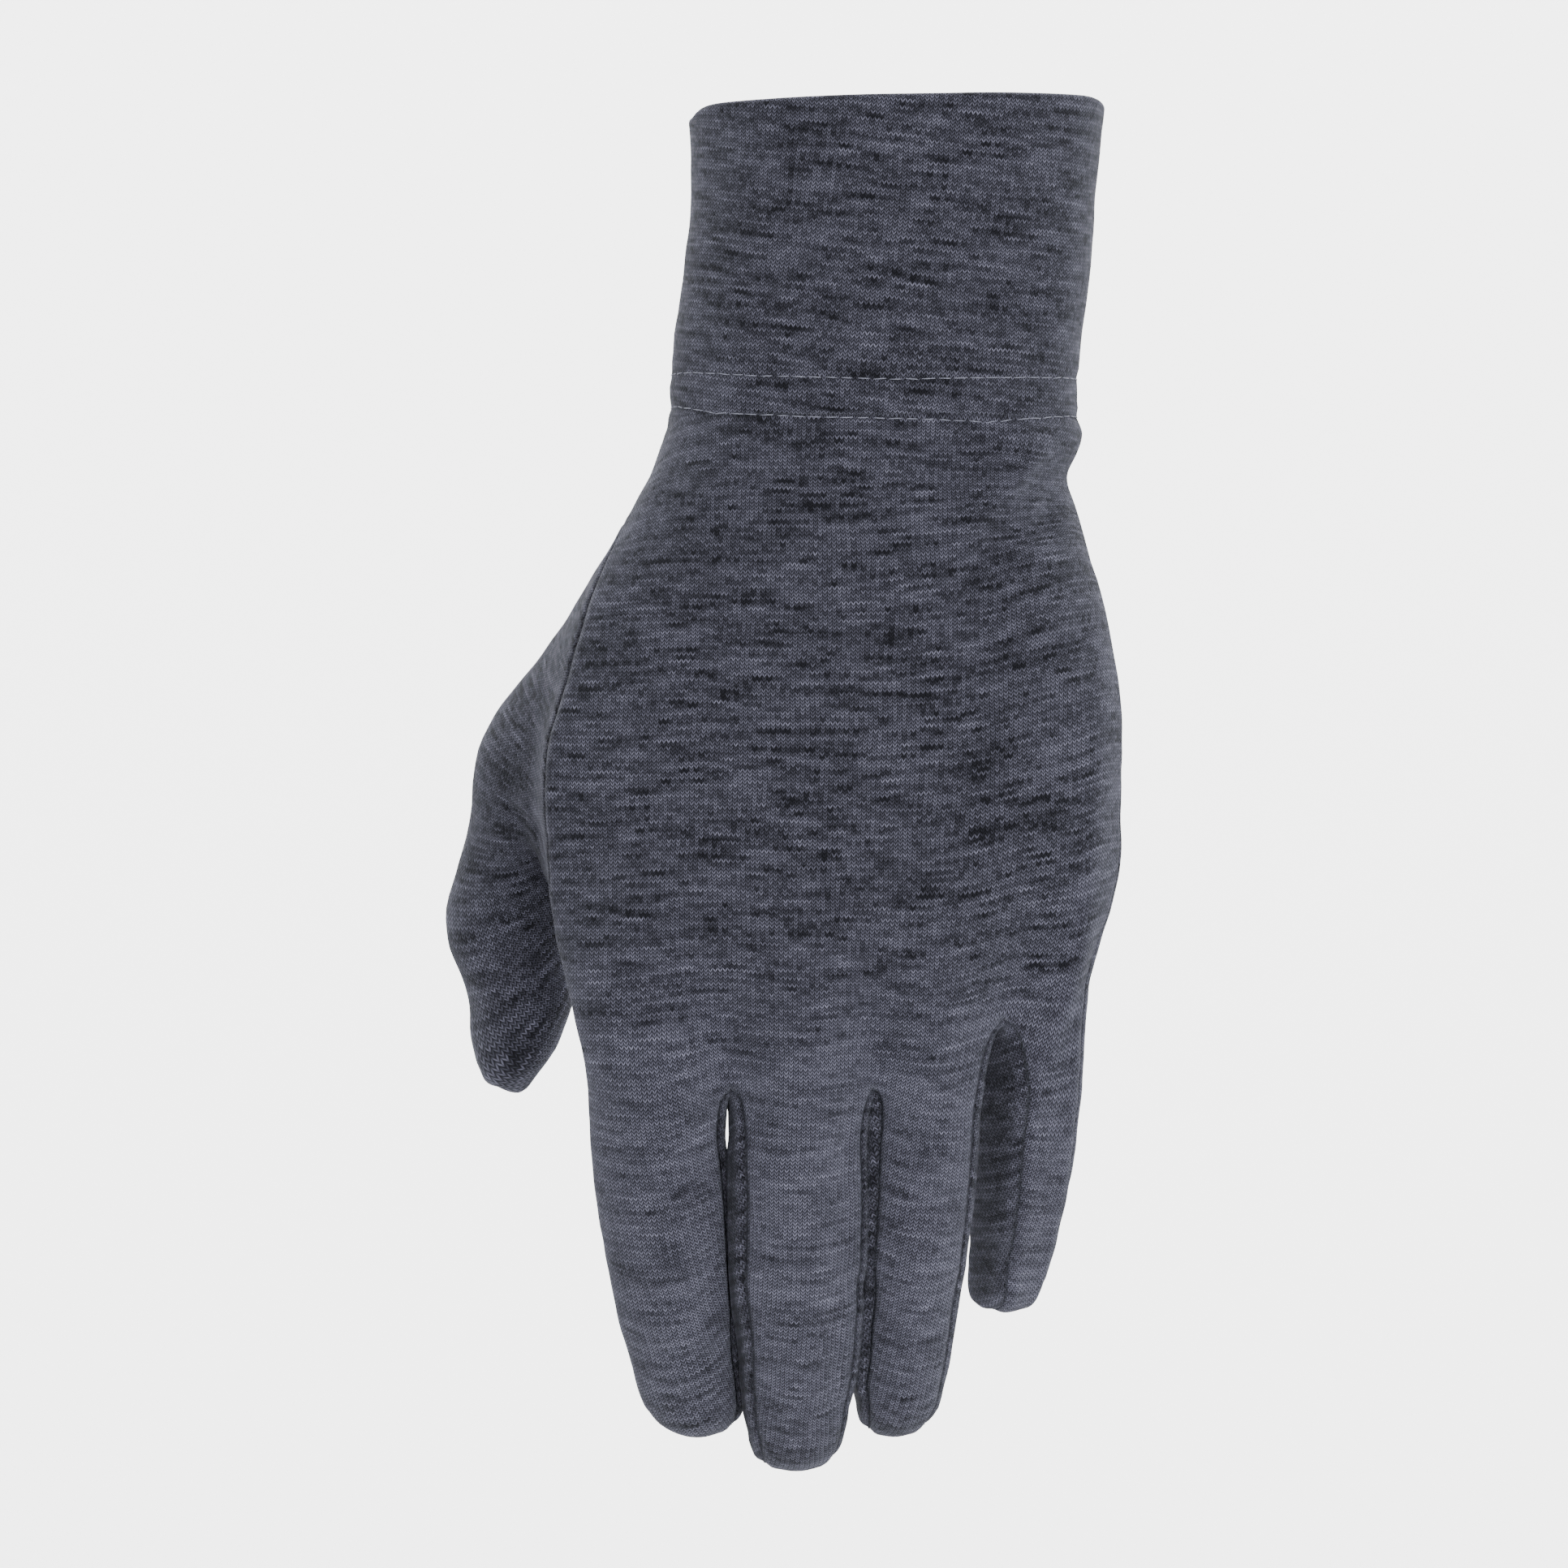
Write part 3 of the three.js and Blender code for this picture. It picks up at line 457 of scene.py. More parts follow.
target = places.copy()
rounding = skin.modifiers.new("rounding", "SUBSURF")
rounding.levels = rounding.render_levels = 1
rounding.use_limit_surface = True
rounding.uv_smooth = "PRESERVE_BOUNDARIES"
for number in range(FIT_ROUNDS):
    looked_at = skin.evaluated_get(bpy.context.evaluated_depsgraph_get())
    smooth = np.array([vertex.co for vertex in looked_at.data.vertices[:len(target)]])
    miss = target - smooth
    corners_now = np.array([vertex.co for vertex in skin.data.vertices]) + miss
    skin.data.vertices.foreach_set("co", corners_now.ravel())
    skin.data.update()
    bpy.context.view_layer.update()
print("largest miss in mm:", round(float(np.linalg.norm(miss, axis=1).max()) / MM, 3))
rounding.levels = rounding.render_levels = SKIN_LEVELS
select_only(skin)
bpy.ops.object.modifier_apply(modifier="rounding")
bpy.ops.object.shade_smooth()
print("smooth skin faces:", len(skin.data.polygons))

# %% [markdown]
# ## Soft fingertips and folds
#
# A fingertip of jersey is round, so the tips are smoothed. Then the corners of the cuff droop, the
# fingers are pressed together where they touch, and the cloth gets its folds: the pull from the
# pinched wrist across the back, the shallow dents in the cuff and the small creases at the finger
# joints. Each fold is a line drawn over the photograph, with a width and a height, and it moves the
# points that face the camera.

# %% Round the tips
TIP_REACH = 9 * MM
TIP_PASSES = 14
TIPS_PX = [(640, 1350), (855, 1770), (980, 1815), (1098, 1776), (1232, 1612)]

tips = [from_photo(px, py) for px, py in TIPS_PX]
select_only(skin)
bpy.ops.object.mode_set(mode="EDIT")
bpy.ops.mesh.select_all(action="DESELECT")
mesh = bmesh.from_edit_mesh(skin.data)
for vertex in mesh.verts:
    x, _, z = vertex.co
    vertex.select = any(math.hypot(x - tip_x, z - tip_z) < TIP_REACH for tip_x, tip_z in tips)
mesh.select_flush(True)
bmesh.update_edit_mesh(skin.data)
bpy.ops.mesh.vertices_smooth(factor=0.5, repeat=TIP_PASSES)
bpy.ops.object.mode_set(mode="OBJECT")
print("points smoothed at the tips:", sum(vertex.select for vertex in skin.data.vertices))

# %% Let the cuff's corners droop, as its folded edge does
CORNER_DROOP = 2.4 * MM
CORNER_REACH = 5 * MM
CORNER_POWER = 26
LITTLE_SIDE_SHARE = 0.35
CUFF_SIDES_PX = (851, 1362)

cuff_x = [from_photo(px, 0)[0] for px in CUFF_SIDES_PX]
cuff_middle = sum(cuff_x) / 2
cuff_half = (cuff_x[1] - cuff_x[0]) / 2
for vertex in skin.data.vertices:
    aside = min(1, abs(vertex.co.x - cuff_middle) / cuff_half)
    high = max(0, 1 + vertex.co.z / CORNER_REACH)
    weight = 1 if vertex.co.x < cuff_middle else LITTLE_SIDE_SHARE
    vertex.co.z -= weight * CORNER_DROOP * aside ** CORNER_POWER * min(1, high)
skin.data.update()
print("cuff in mm from", round(cuff_x[0] / MM, 1), "to", round(cuff_x[1] / MM, 1))

# %% Press the fingers together where the photograph shows no light between them
# Each: column and two rows in the photograph, reach in mm, push in mm
PRESSED = [(898, 1425, 1640, 2.6, 0.45), (1064, 1345, 1590, 2.8, 0.75),
           (1053, 1610, 1735, 3.0, 0.8)]
PRESS_FADE = 4 * MM
PRESS_EDGE = 3

for column, first_row, last_row, reach, push in PRESSED:
    line_x, top_z = from_photo(column, first_row)
    low_z = from_photo(column, last_row)[1]
    shifts = []
    for vertex in skin.data.vertices:
        x, _, z = vertex.co
        inside = min(top_z + PRESS_FADE - z, z - low_z) / PRESS_FADE
        near = 1 - abs(x - line_x) / (reach * MM)
        share = min(1, max(0, inside)) * min(1, max(0, PRESS_EDGE * near)) * abs(vertex.normal.x)
        shifts.append(math.copysign(push * MM * share, vertex.normal.x))
    for vertex, shift in zip(skin.data.vertices, shifts):
        vertex.co.x += shift
    print("pressed by mm:", round(max(shifts) / MM, 2))
skin.data.update()

# %% The folds
# Each: points in the photograph, half width in mm, height in mm
FOLDS = [
    ([(1296, 540), (1239, 612), (1199, 643), (1144, 683), (1090, 708)], 1.7, 1.3),
    ([(1300, 600), (1286, 651), (1227, 683), (1165, 722)], 1.8, -1.1),
    ([(1340, 730), (1300, 762), (1215, 800), (1110, 815)], 1.8, 0.8),
    ([(1345, 775), (1290, 812), (1215, 842)], 1.8, -0.7),
    ([(1290, 470), (1200, 545), (1120, 570), (1020, 575)], 1.8, -0.4),
    ([(835, 560), (880, 600), (960, 625), (1040, 636)], 2.2, 0.4),
    ([(815, 600), (850, 640), (930, 665)], 2.0, -0.35),
    ([(1140, 330), (1220, 380), (1300, 410)], 4.0, -0.8),
    ([(1090, 440), (1130, 400), (1180, 360)], 2.0, 0.35),
    ([(900, 350), (960, 380), (1030, 390)], 3.0, -0.4),
    ([(860, 215), (950, 240), (1080, 230)], 3.5, -0.35),
    ([(622, 992), (645, 1012), (678, 1038)], 1.3, -0.9),
    ([(618, 970), (645, 988), (675, 1010)], 1.3, 0.45),
    ([(575, 1060), (620, 1072), (675, 1075)], 1.2, -0.4),
    ([(590, 1200), (620, 1212), (650, 1208)], 1.2, -0.3),
    ([(930, 1500), (980, 1508), (1045, 1492)], 1.5, -0.3),
    ([(930, 1420), (985, 1430), (1050, 1415)], 1.3, -0.25),
    ([(1095, 1480), (1140, 1490), (1195, 1475)], 1.4, -0.3),
    ([(745, 1500), (810, 1512), (880, 1495)], 1.6, -0.3),
    ([(1270, 1380), (1295, 1388), (1325, 1375)], 1.2, -0.4),
    ([(1265, 1430), (1290, 1440), (1318, 1430)], 1.1, -0.3),
    ([(790, 1662), (840, 1672), (905, 1660)], 1.4, -0.25),
    ([(925, 1690), (980, 1700), (1045, 1688)], 1.4, -0.25)]
FOLD_STEP = 0.5 * MM
FOLD_END_FADE = 0.6
FACING_GAIN = 2
RIPPLE_HEIGHT = 0.22 * MM
RIPPLE_WIDE = 13 * MM
RIPPLE_HIGH = 4.5 * MM

select_only(skin)
points = np.array([vertex.co for vertex in skin.data.vertices])
normals = np.array([vertex.normal for vertex in skin.data.vertices])
facing = np.clip(-normals[:, 1] * FACING_GAIN, 0, 1)
lift = np.zeros(len(points))
for line_px, half, height in FOLDS:
    line = np.array([from_photo(px, py) for px, py in line_px])
    along = np.concatenate([[0], np.cumsum(np.hypot(*np.diff(line, axis=0).T))])
    stops = np.linspace(0, along[-1], max(2, round(along[-1] / FOLD_STEP)))
    path = np.stack([np.interp(stops, along, line[:, axis]) for axis in (0, 1)], axis=1)
    gaps = np.hypot(points[:, None, 0] - path[:, 0], points[:, None, 2] - path[:, 1])
    fade = np.sin(np.pi * (gaps.argmin(axis=1) + 0.5) / len(path)) ** FOLD_END_FADE
    lift += height * MM * fade * np.exp(-(gaps.min(axis=1) / (half * MM)) ** 2)
lift *= facing
lift += [RIPPLE_HEIGHT * smooth_noise.noise((x / RIPPLE_WIDE, y / RIPPLE_WIDE, z / RIPPLE_HIGH))
         for x, y, z in points]
points += normals * lift[:, None]
skin.data.vertices.foreach_set("co", points.ravel())
skin.data.update()
print("deepest fold and highest ridge, mm:", (lift.min() / MM).round(2), (lift.max() / MM).round(2))

# %% [markdown]
# ## The run of the knit
#
# On the back of the hand the rows of the knit aren't level: toward the little finger's side the
# cloth is pulled up to the pinched wrist, and the rows rise. The pattern's coordinates are bent by
# that much. The strips between the fingers were unwrapped lying on their side. Their coordinates
# are turned, because a strip is cut along the grain, which runs down both fingers.

# %% Bend the rows of the knit
PULL_FROM_PX = 1050
PULL_SLOPE = 0.38
PULL_OVER_PX = 300
PULL_ROWS_PX = [560, 680, 1230, 1420]

start_x = from_photo(PULL_FROM_PX, 0)[0]
row_heights = [from_photo(0, row)[1] for row in PULL_ROWS_PX]
over = PULL_OVER_PX * PIXEL
cloth_uv = skin.data.uv_layers["cloth"].data
back_number = PANELS.index("back_panel")
strip_numbers = [number for number, name in enumerate(PANELS) if name.startswith("fourchette")]
for face in skin.data.polygons:
    if face.material_index in strip_numbers:
        for corner in face.loop_indices:
            u, v = cloth_uv[corner].uv
            cloth_uv[corner].uv = (-v, u)
    if face.material_index != back_number:
        continue
    for corner in face.loop_indices:
        x, _, z = points[skin.data.loops[corner].vertex_index]
        reach = max(0, x - start_x)
        share = np.interp(-z, [-height for height in row_heights], [0, 1, 1, 0])
        cloth_uv[corner].uv.y -= share * PULL_SLOPE * reach * reach / (2 * over)
print("strips turned:", len(strip_numbers), "rows bent from x in mm:", round(start_x / MM, 1))

# %% [markdown]
# ## Seams in the skin
#
# A sewn seam pulls its stitches into the cloth, with a low soft ridge on both sides where the
# turned edges lie underneath. Every point of the skin learns how far it is from the nearest seam,
# the geometry is pressed in by that, and the materials read the same distance for their shade.

# %% Measure the distance to the seams and press them in
SEAM_STEP = 0.2 * MM
SEAM_SIGHT = 8 * MM
SEAM_DEPTH = 0.22 * MM
SEAM_HALF = 0.7 * MM
RIDGE_RISE = 0.16 * MM
RIDGE_AT = 1.7 * MM
RIDGE_HALF = 0.8 * MM


def seam_edges(mesh):
    """The edges between two panels, without the cuff's, whose seam lies flat."""
    found = []
    for edge in mesh.edges:
        numbers = {face.material_index for face in edge.link_faces}
        if len(numbers) > 1 and PANELS.index("cuff") not in numbers:
            found.append(edge)
    return found


mesh = bmesh.new()
mesh.from_mesh(skin.data)
found = seam_edges(mesh)
seam_points = []
for edge in found:
    first, second = (vertex.co for vertex in edge.verts)
    steps = max(1, round(edge.calc_length() / SEAM_STEP))
    seam_points += [first.lerp(second, number / steps) for number in range(steps + 1)]
seam_runs = [(edge.verts[0].co.copy(), edge.verts[1].co.copy(),
              (edge.verts[0].normal + edge.verts[1].normal).normalized()) for edge in found]
mesh.free()
seam_tree = KDTree(len(seam_points))
for number, place in enumerate(seam_points):
    seam_tree.insert(place, number)
seam_tree.balance()
distance = np.array([min(seam_tree.find(vertex.co)[2], SEAM_SIGHT)
                     for vertex in skin.data.vertices])
seam_far = skin.data.attributes.new("seam_far", "FLOAT", "POINT")
seam_far.data.foreach_set("value", distance)


def bump_at(value, middle, half):
    """1 at the middle, and nearly 0 from twice the half width on."""
    return np.exp(-((value - middle) / half) ** 2)


press = (RIDGE_RISE * bump_at(distance, RIDGE_AT, RIDGE_HALF)
         - SEAM_DEPTH * bump_at(distance, 0, SEAM_HALF))
points = np.array([vertex.co for vertex in skin.data.vertices])
normals = np.array([vertex.normal for vertex in skin.data.vertices])
points += normals * press[:, None]
skin.data.vertices.foreach_set("co", points.ravel())
skin.data.update()
print("seam points:", len(seam_points))

# %% [markdown]
# ## The rows of stitching at the cuff
#
# The cuff's hem is sewn to the hand with two rows of long straight stitches, 6 mm apart. Their
# heights come from the photograph. The stitches pull the cloth in, so the skin dips along both
# rows, and the threads are laid on the same lines.

# %% Press in the two rows
UPPER_ROW_PX = [(851, 456), (930, 462), (1104, 467), (1317, 462)]
LOWER_ROW_PX = [(831, 497), (879, 507), (993, 513), (1136, 516), (1215, 519), (1321, 509)]
ROW_DIP = 0.35 * MM
ROW_DIP_HALF = 1.0 * MM
# the cuff's front is nearer to the camera than the plane in which the photograph is measured
ROW_NEARER = 22 * MM


def row_height(row_px, x):
    """The height of a row of stitching at a place across the glove."""
    line = np.array([from_photo(px, py) for px, py in row_px])
    nearer = 1 - ROW_NEARER / CAMERA_DISTANCE
    return centre_z + nearer * (np.interp(x, line[:, 0], line[:, 1]) - centre_z)


for row_px in (UPPER_ROW_PX, LOWER_ROW_PX):
    above = points[:, 2] - row_height(row_px, points[:, 0])
    points -= normals * (ROW_DIP * bump_at(above, 0, ROW_DIP_HALF))[:, None]
    print("row of stitching at mm:", round(float(row_height(row_px, 0)) / MM, 1))
skin.data.vertices.foreach_set("co", points.ravel())
skin.data.update()

# %% [markdown]
# The cloth over the fingers is painted lighter than over the back of the hand, a painted light.
# Each point learns how much painted light it gets, from rows of the photograph.

# %% How much painted light the cloth gets
PAINTED_LIGHT_ROWS_PX = [1140, 1330, 1600, 1770]
PAINTED_LIGHT = [1.0, 1.5, 1.45, 1.15]

depths = [-from_photo(0, row)[1] for row in PAINTED_LIGHT_ROWS_PX]
# painted light: the cloth is lighter over the fingers than over the back of the hand
lightness = np.interp(-points[:, 2], depths, PAINTED_LIGHT)
skin.data.attributes.new("stretch", "FLOAT", "POINT").data.foreach_set("value", lightness)
print("lightness of the cloth:", lightness.min().round(2), "to", lightness.max().round(2))

# %% [markdown]
# ## The jersey
#
# The cloth is a single jersey of heathered yarn: small V-shaped stitches in columns 0.8 mm apart,
# and a yarn whose colour changes every few millimetres, which gives short light and dark streaks
# along the rows. Its pattern is drawn on the flat panels, so it bends with the cloth. It is built
# once as a node group, and each panel's material uses it with values of its own.

# %% Helpers for shader nodes
NOISE_RANGE = (0.3, 0.7)


def add_node(tree, kind, inputs=None, **settings):
    """Adds a node, sets its settings, and links or sets its inputs."""
    made = tree.nodes.new(kind)
    for key, value in settings.items():
        setattr(made, key, value)
    for key, value in (inputs or {}).items():
        if isinstance(value, bpy.types.NodeSocket):
            tree.links.new(value, made.inputs[key])
        else:
            made.inputs[key].default_value = value
    return made


def calc(tree, operation, *values):
    """The result of a sum or another operation on one or two values."""
    return add_node(tree, "ShaderNodeMath", dict(enumerate(values)), operation=operation).outputs[0]


def remap(tree, value, from_low, from_high, to_low, to_high):
    """A value moved from one range to another, and held inside it."""
    inputs = {"Value": value, "From Min": from_low, "From Max": from_high,
              "To Min": to_low, "To Max": to_high}
    return add_node(tree, "ShaderNodeMapRange", inputs).outputs["Result"]


def noise(tree, vector, scale, detail):
    """A soft random pattern, mostly between 0.3 and 0.7."""
    inputs = {"Vector": vector, "Scale": scale, "Detail": detail}
    return add_node(tree, "ShaderNodeTexNoise", inputs).outputs["Fac"]


def combine(tree, x, y):
    """A flat place made of two values."""
    return add_node(tree, "ShaderNodeCombineXYZ", {"X": x, "Y": y, "Z": 0.0}).outputs["Vector"]


def zigzag(tree, value):
    """0 halfway between two whole numbers, and 1 at each of them."""
    fraction = calc(tree, "FRACT", value)
    return calc(tree, "MULTIPLY", calc(tree, "ABSOLUTE", calc(tree, "SUBTRACT", fraction, 0.5)), 2.0)


def cloud(tree, x, y, wide, high, detail, strength):
    """A soft pattern of patches so wide and so high, as a tone between minus and plus strength."""
    stretched = combine(tree, calc(tree, "DIVIDE", x, wide), calc(tree, "DIVIDE", y, high))
    return remap(tree, noise(tree, stretched, 1.0, detail), *NOISE_RANGE, -strength, strength)


def new_group(name, inputs, outputs):
    """A shader node group with these inputs (name, kind, value) and outputs (name, kind)."""
    group = bpy.data.node_groups.new(name, "ShaderNodeTree")
    for label, kind, value in inputs:
        socket = group.interface.new_socket(label, in_out="INPUT", socket_type=kind)
        if value is not None:
            socket.default_value = value
    for label, kind in outputs:
        group.interface.new_socket(label, in_out="OUTPUT", socket_type=kind)
    return group, group.nodes.new("NodeGroupInput").outputs, group.nodes.new("NodeGroupOutput")


# %% The knit, as a node group
WALE = 0.78 * MM
COURSE = 0.62 * MM
LEG_RISE = 0.95
LEG_ROUND = 1.3
EDGE_DIP = 0.75
MIDDLE_DIP = 0.5
DIP_SHARP = 3.0
GAP_SHARP = 1.5
WANDER_SIZE = 14 * MM
WANDER_STITCHES = 2.0
MEAN_TONE = 0.42
STREAK_WALES = 9.0
STREAK_ROWS = 3.7
STREAK_TONE = 0.28
BRIGHT_FROM, BRIGHT_TO, BRIGHT_TONE = 0.66, 0.74, 0.35
BLOTCH_WIDE, BLOTCH_HIGH, BLOTCH_TONE = 13 * MM, 1.5 * MM, 0.2
PATCH_WIDE, PATCH_HIGH, PATCH_TONE = 26 * MM, 8 * MM, 0.12
STITCH_TONE = 0.2

jersey, given, result = new_group(
    "heathered_jersey",
    [("Cloth", "NodeSocketVector", None), ("Dark Yarn", "NodeSocketColor", None),
     ("Light Yarn", "NodeSocketColor", None), ("Heather", "NodeSocketFloat", 1.0),
     ("Gaps", "NodeSocketFloat", 0.7)],
    [("Color", "NodeSocketColor"), ("Height", "NodeSocketFloat")])

cloth_place = given["Cloth"]
apart = add_node(jersey, "ShaderNodeSeparateXYZ", {"Vector": cloth_place}).outputs
wander = noise(jersey, cloth_place, 1 / WANDER_SIZE, 2.0)
wander = calc(jersey, "MULTIPLY", calc(jersey, "SUBTRACT", wander, 0.5), WANDER_STITCHES)
wales = calc(jersey, "ADD", calc(jersey, "DIVIDE", apart["X"], WALE), wander)
courses = calc(jersey, "ADD", calc(jersey, "DIVIDE", apart["Y"], COURSE), wander)
# 0 on a wale's middle and 1 at its edges
from_middle = zigzag(jersey, wales)
climb = calc(jersey, "SUBTRACT", courses, calc(jersey, "MULTIPLY", from_middle, LEG_RISE))
course_number = calc(jersey, "FLOOR", climb)
# 0 on the middle of a loop's leg and 1 between two legs
from_leg = zigzag(jersey, climb)
leg = calc(jersey, "SUBTRACT", 1.0, calc(jersey, "POWER", from_leg, LEG_ROUND))
# the loop's two legs stand apart, with a dip on the wale's middle and a deeper one at its edges
edge_dip = calc(jersey, "MULTIPLY", calc(jersey, "POWER", from_middle, DIP_SHARP), EDGE_DIP)
middle_dip = calc(jersey, "POWER", calc(jersey, "SUBTRACT", 1.0, from_middle), DIP_SHARP)
dips = calc(jersey, "ADD", edge_dip, calc(jersey, "MULTIPLY", middle_dip, MIDDLE_DIP))
loop_height = calc(jersey, "MULTIPLY", leg, calc(jersey, "SUBTRACT", 1.0, dips))

# the heather: streaks along a row, the lightest of them brighter still, then blotches and patches
streak = noise(jersey, combine(jersey, calc(jersey, "DIVIDE", wales, STREAK_WALES),
                               calc(jersey, "MULTIPLY", course_number, STREAK_ROWS)), 1.0, 2.0)
bright = remap(jersey, streak, BRIGHT_FROM, BRIGHT_TO, 0.0, BRIGHT_TONE)
streak = calc(jersey, "ADD", remap(jersey, streak, *NOISE_RANGE, -STREAK_TONE, STREAK_TONE), bright)
blotch = cloud(jersey, apart["X"], apart["Y"], BLOTCH_WIDE, BLOTCH_HIGH, 3.0, BLOTCH_TONE)
patch = cloud(jersey, apart["X"], apart["Y"], PATCH_WIDE, PATCH_HIGH, 2.0, PATCH_TONE)
blotch = calc(jersey, "ADD", blotch, patch)
stitch_cell = add_node(jersey, "ShaderNodeTexWhiteNoise",
                       {"Vector": combine(jersey, calc(jersey, "FLOOR", wales), course_number)},
                       noise_dimensions="2D").outputs["Value"]
stitch_cell = remap(jersey, stitch_cell, 0.0, 1.0, -STITCH_TONE, STITCH_TONE)
tone = calc(jersey, "ADD", calc(jersey, "ADD", streak, blotch), stitch_cell)
tone = calc(jersey, "ADD", MEAN_TONE, calc(jersey, "MULTIPLY", tone, given["Heather"]))
yarn = add_node(jersey, "ShaderNodeMix",
                {"Factor": tone, "A": given["Dark Yarn"], "B": given["Light Yarn"]},
                data_type="RGBA", clamp_factor=True)
deep = calc(jersey, "SUBTRACT", 1.0, calc(jersey, "POWER", loop_height, GAP_SHARP))
shade = calc(jersey, "SUBTRACT", 1.0, calc(jersey, "MULTIPLY", given["Gaps"], deep))
shaded = add_node(jersey, "ShaderNodeVectorMath",
                  {0: yarn.outputs["Result"], "Scale": shade}, operation="SCALE")
jersey.links.new(shaded.outputs["Vector"], result.inputs["Color"])
jersey.links.new(loop_height, result.inputs["Height"])
print("jersey nodes:", len(jersey.nodes))

# %% [markdown]
# A seam is darker in its groove, because little light gets in, and its stitches make it uneven.
# The second group turns the distance to the seam into a shade and a height.

# %% The seam's shade, as a node group
GROOVE_HALF = 0.45 * MM
SEAM_STITCH = 1.1 * MM
BEAT_LEAST = 0.65

groove, given, result = new_group(
    "seam_groove",
    [("Far", "NodeSocketFloat", 1.0), ("Cloth", "NodeSocketVector", None),
     ("Depth", "NodeSocketFloat", 0.6)],
    [("Shade", "NodeSocketFloat"), ("Height", "NodeSocketFloat")])
near = calc(groove, "DIVIDE", given["Far"], GROOVE_HALF)
near = calc(groove, "EXPONENT", calc(groove, "MULTIPLY", calc(groove, "POWER", near, 2.0), -1.0))
apart = add_node(groove, "ShaderNodeSeparateXYZ", {"Vector": given["Cloth"]}).outputs
beat = calc(groove, "SINE", calc(groove, "MULTIPLY", apart["Y"], 2 * math.pi / SEAM_STITCH))
beat = remap(groove, beat, -1.0, 1.0, BEAT_LEAST, 1.0)
dark = calc(groove, "MULTIPLY", calc(groove, "MULTIPLY", near, beat), given["Depth"])
groove.links.new(calc(groove, "SUBTRACT", 1.0, dark), result.inputs["Shade"])
groove.links.new(calc(groove, "MULTIPLY", dark, -1.0), result.inputs["Height"])
print("seam nodes:", len(groove.nodes))

# %% [markdown]
# Every panel is cut from the same cloth, so one function dresses them all. Only a few values
# differ: the thumb is painted a little darker, a painted shade, and the strips between the fingers
# are painted darker away from their seams, a painted shade where little light gets in.

# %% One material for each panel
DARK_YARN = (0.0195, 0.0195, 0.0300, 1)
LIGHT_YARN = (0.350, 0.350, 0.475, 1)
KNIT_HEIGHT = 0.2 * MM
CREVICE_SHADE_FROM = 1.5 * MM
CREVICE_SHADE_TO = 3.4 * MM
CALM_FINGERS = 0.6
BUMP_STRENGTH = 0.8
HEATHER = 1.05
GAPS = 0.95
GROOVE_DARK = 0.35
# painted shade: the thumb's yarn is dimmed, and the strips between the fingers darken away from
# their seams
PANEL_VALUES = {"thumb": {"painted_shade": 0.95}, "fourchette_index_middle": {"crevice_shade": 0.15},
                "fourchette_middle_ring": {"crevice_shade": 0.2},
                "fourchette_ring_little": {"crevice_shade": 0.6}}
CLOTH_FINISH = {"Roughness": 0.92, "Specular IOR Level": 0.15, "Sheen Weight": 0.12,
                "Sheen Roughness": 0.5, "Sheen Tint": (0.8, 0.85, 1, 1)}


def dimmed(colour, share):
    """A colour with a share of its light."""
    return [share * value for value in colour[:3]] + [1]


def dress(name, painted_shade=1.0, crevice_shade=1.0):
    """Gives a panel's material the jersey, with its seams, and with the painted shade and painted
    light that some panels get.
    """
    material = cloths[name]
    material.use_nodes = True
    tree = material.node_tree
    shader = tree.nodes["Principled BSDF"]
    for label, value in CLOTH_FINISH.items():
        shader.inputs[label].default_value = value
    cloth_uv = add_node(tree, "ShaderNodeUVMap", uv_map="cloth").outputs["UV"]
    far = add_node(tree, "ShaderNodeAttribute", attribute_name="seam_far").outputs["Fac"]
    knit = add_node(tree, "ShaderNodeGroup", node_tree=jersey)
    tree.links.new(cloth_uv, knit.inputs["Cloth"])
    # the painted shade dims both yarns
    knit.inputs["Dark Yarn"].default_value = dimmed(DARK_YARN, painted_shade)
    knit.inputs["Light Yarn"].default_value = dimmed(LIGHT_YARN, painted_shade)
    knit.inputs["Heather"].default_value = HEATHER
    knit.inputs["Gaps"].default_value = GAPS
    seam = add_node(tree, "ShaderNodeGroup", node_tree=groove)
    tree.links.new(far, seam.inputs["Far"])
    tree.links.new(cloth_uv, seam.inputs["Cloth"])
    seam.inputs["Depth"].default_value = GROOVE_DARK
    colour = add_node(tree, "ShaderNodeVectorMath",
                      {0: knit.outputs["Color"], "Scale": seam.outputs["Shade"]},
                      operation="SCALE").outputs["Vector"]
    # painted shade: the strips between the fingers darken away from their seams
    light = remap(tree, far, CREVICE_SHADE_FROM, CREVICE_SHADE_TO, 1.0, crevice_shade)
    if name in ("back_panel", "palm_panel"):
        # the painted light makes the cloth lighter, and its heather is calmer there
        stretch = add_node(tree, "ShaderNodeAttribute", attribute_name="stretch").outputs["Fac"]
        light = calc(tree, "MULTIPLY", light, stretch)
        calm = remap(tree, stretch, PAINTED_LIGHT[0], PAINTED_LIGHT[1],
                     HEATHER, HEATHER * CALM_FINGERS)
        tree.links.new(calm, knit.inputs["Heather"])
    colour = add_node(tree, "ShaderNodeVectorMath", {0: colour, "Scale": light},
                      operation="SCALE").outputs["Vector"]
    tree.links.new(colour, shader.inputs["Base Color"])
    height = calc(tree, "ADD", knit.outputs["Height"], seam.outputs["Height"])
    bump = add_node(tree, "ShaderNodeBump",
                    {"Height": height, "Strength": BUMP_STRENGTH, "Distance": KNIT_HEIGHT})
    tree.links.new(bump.outputs["Normal"], shader.inputs["Normal"])
    print(name, "material nodes:", len(tree.nodes))


for name in PANELS:
    dress(name, **PANEL_VALUES.get(name, {}))

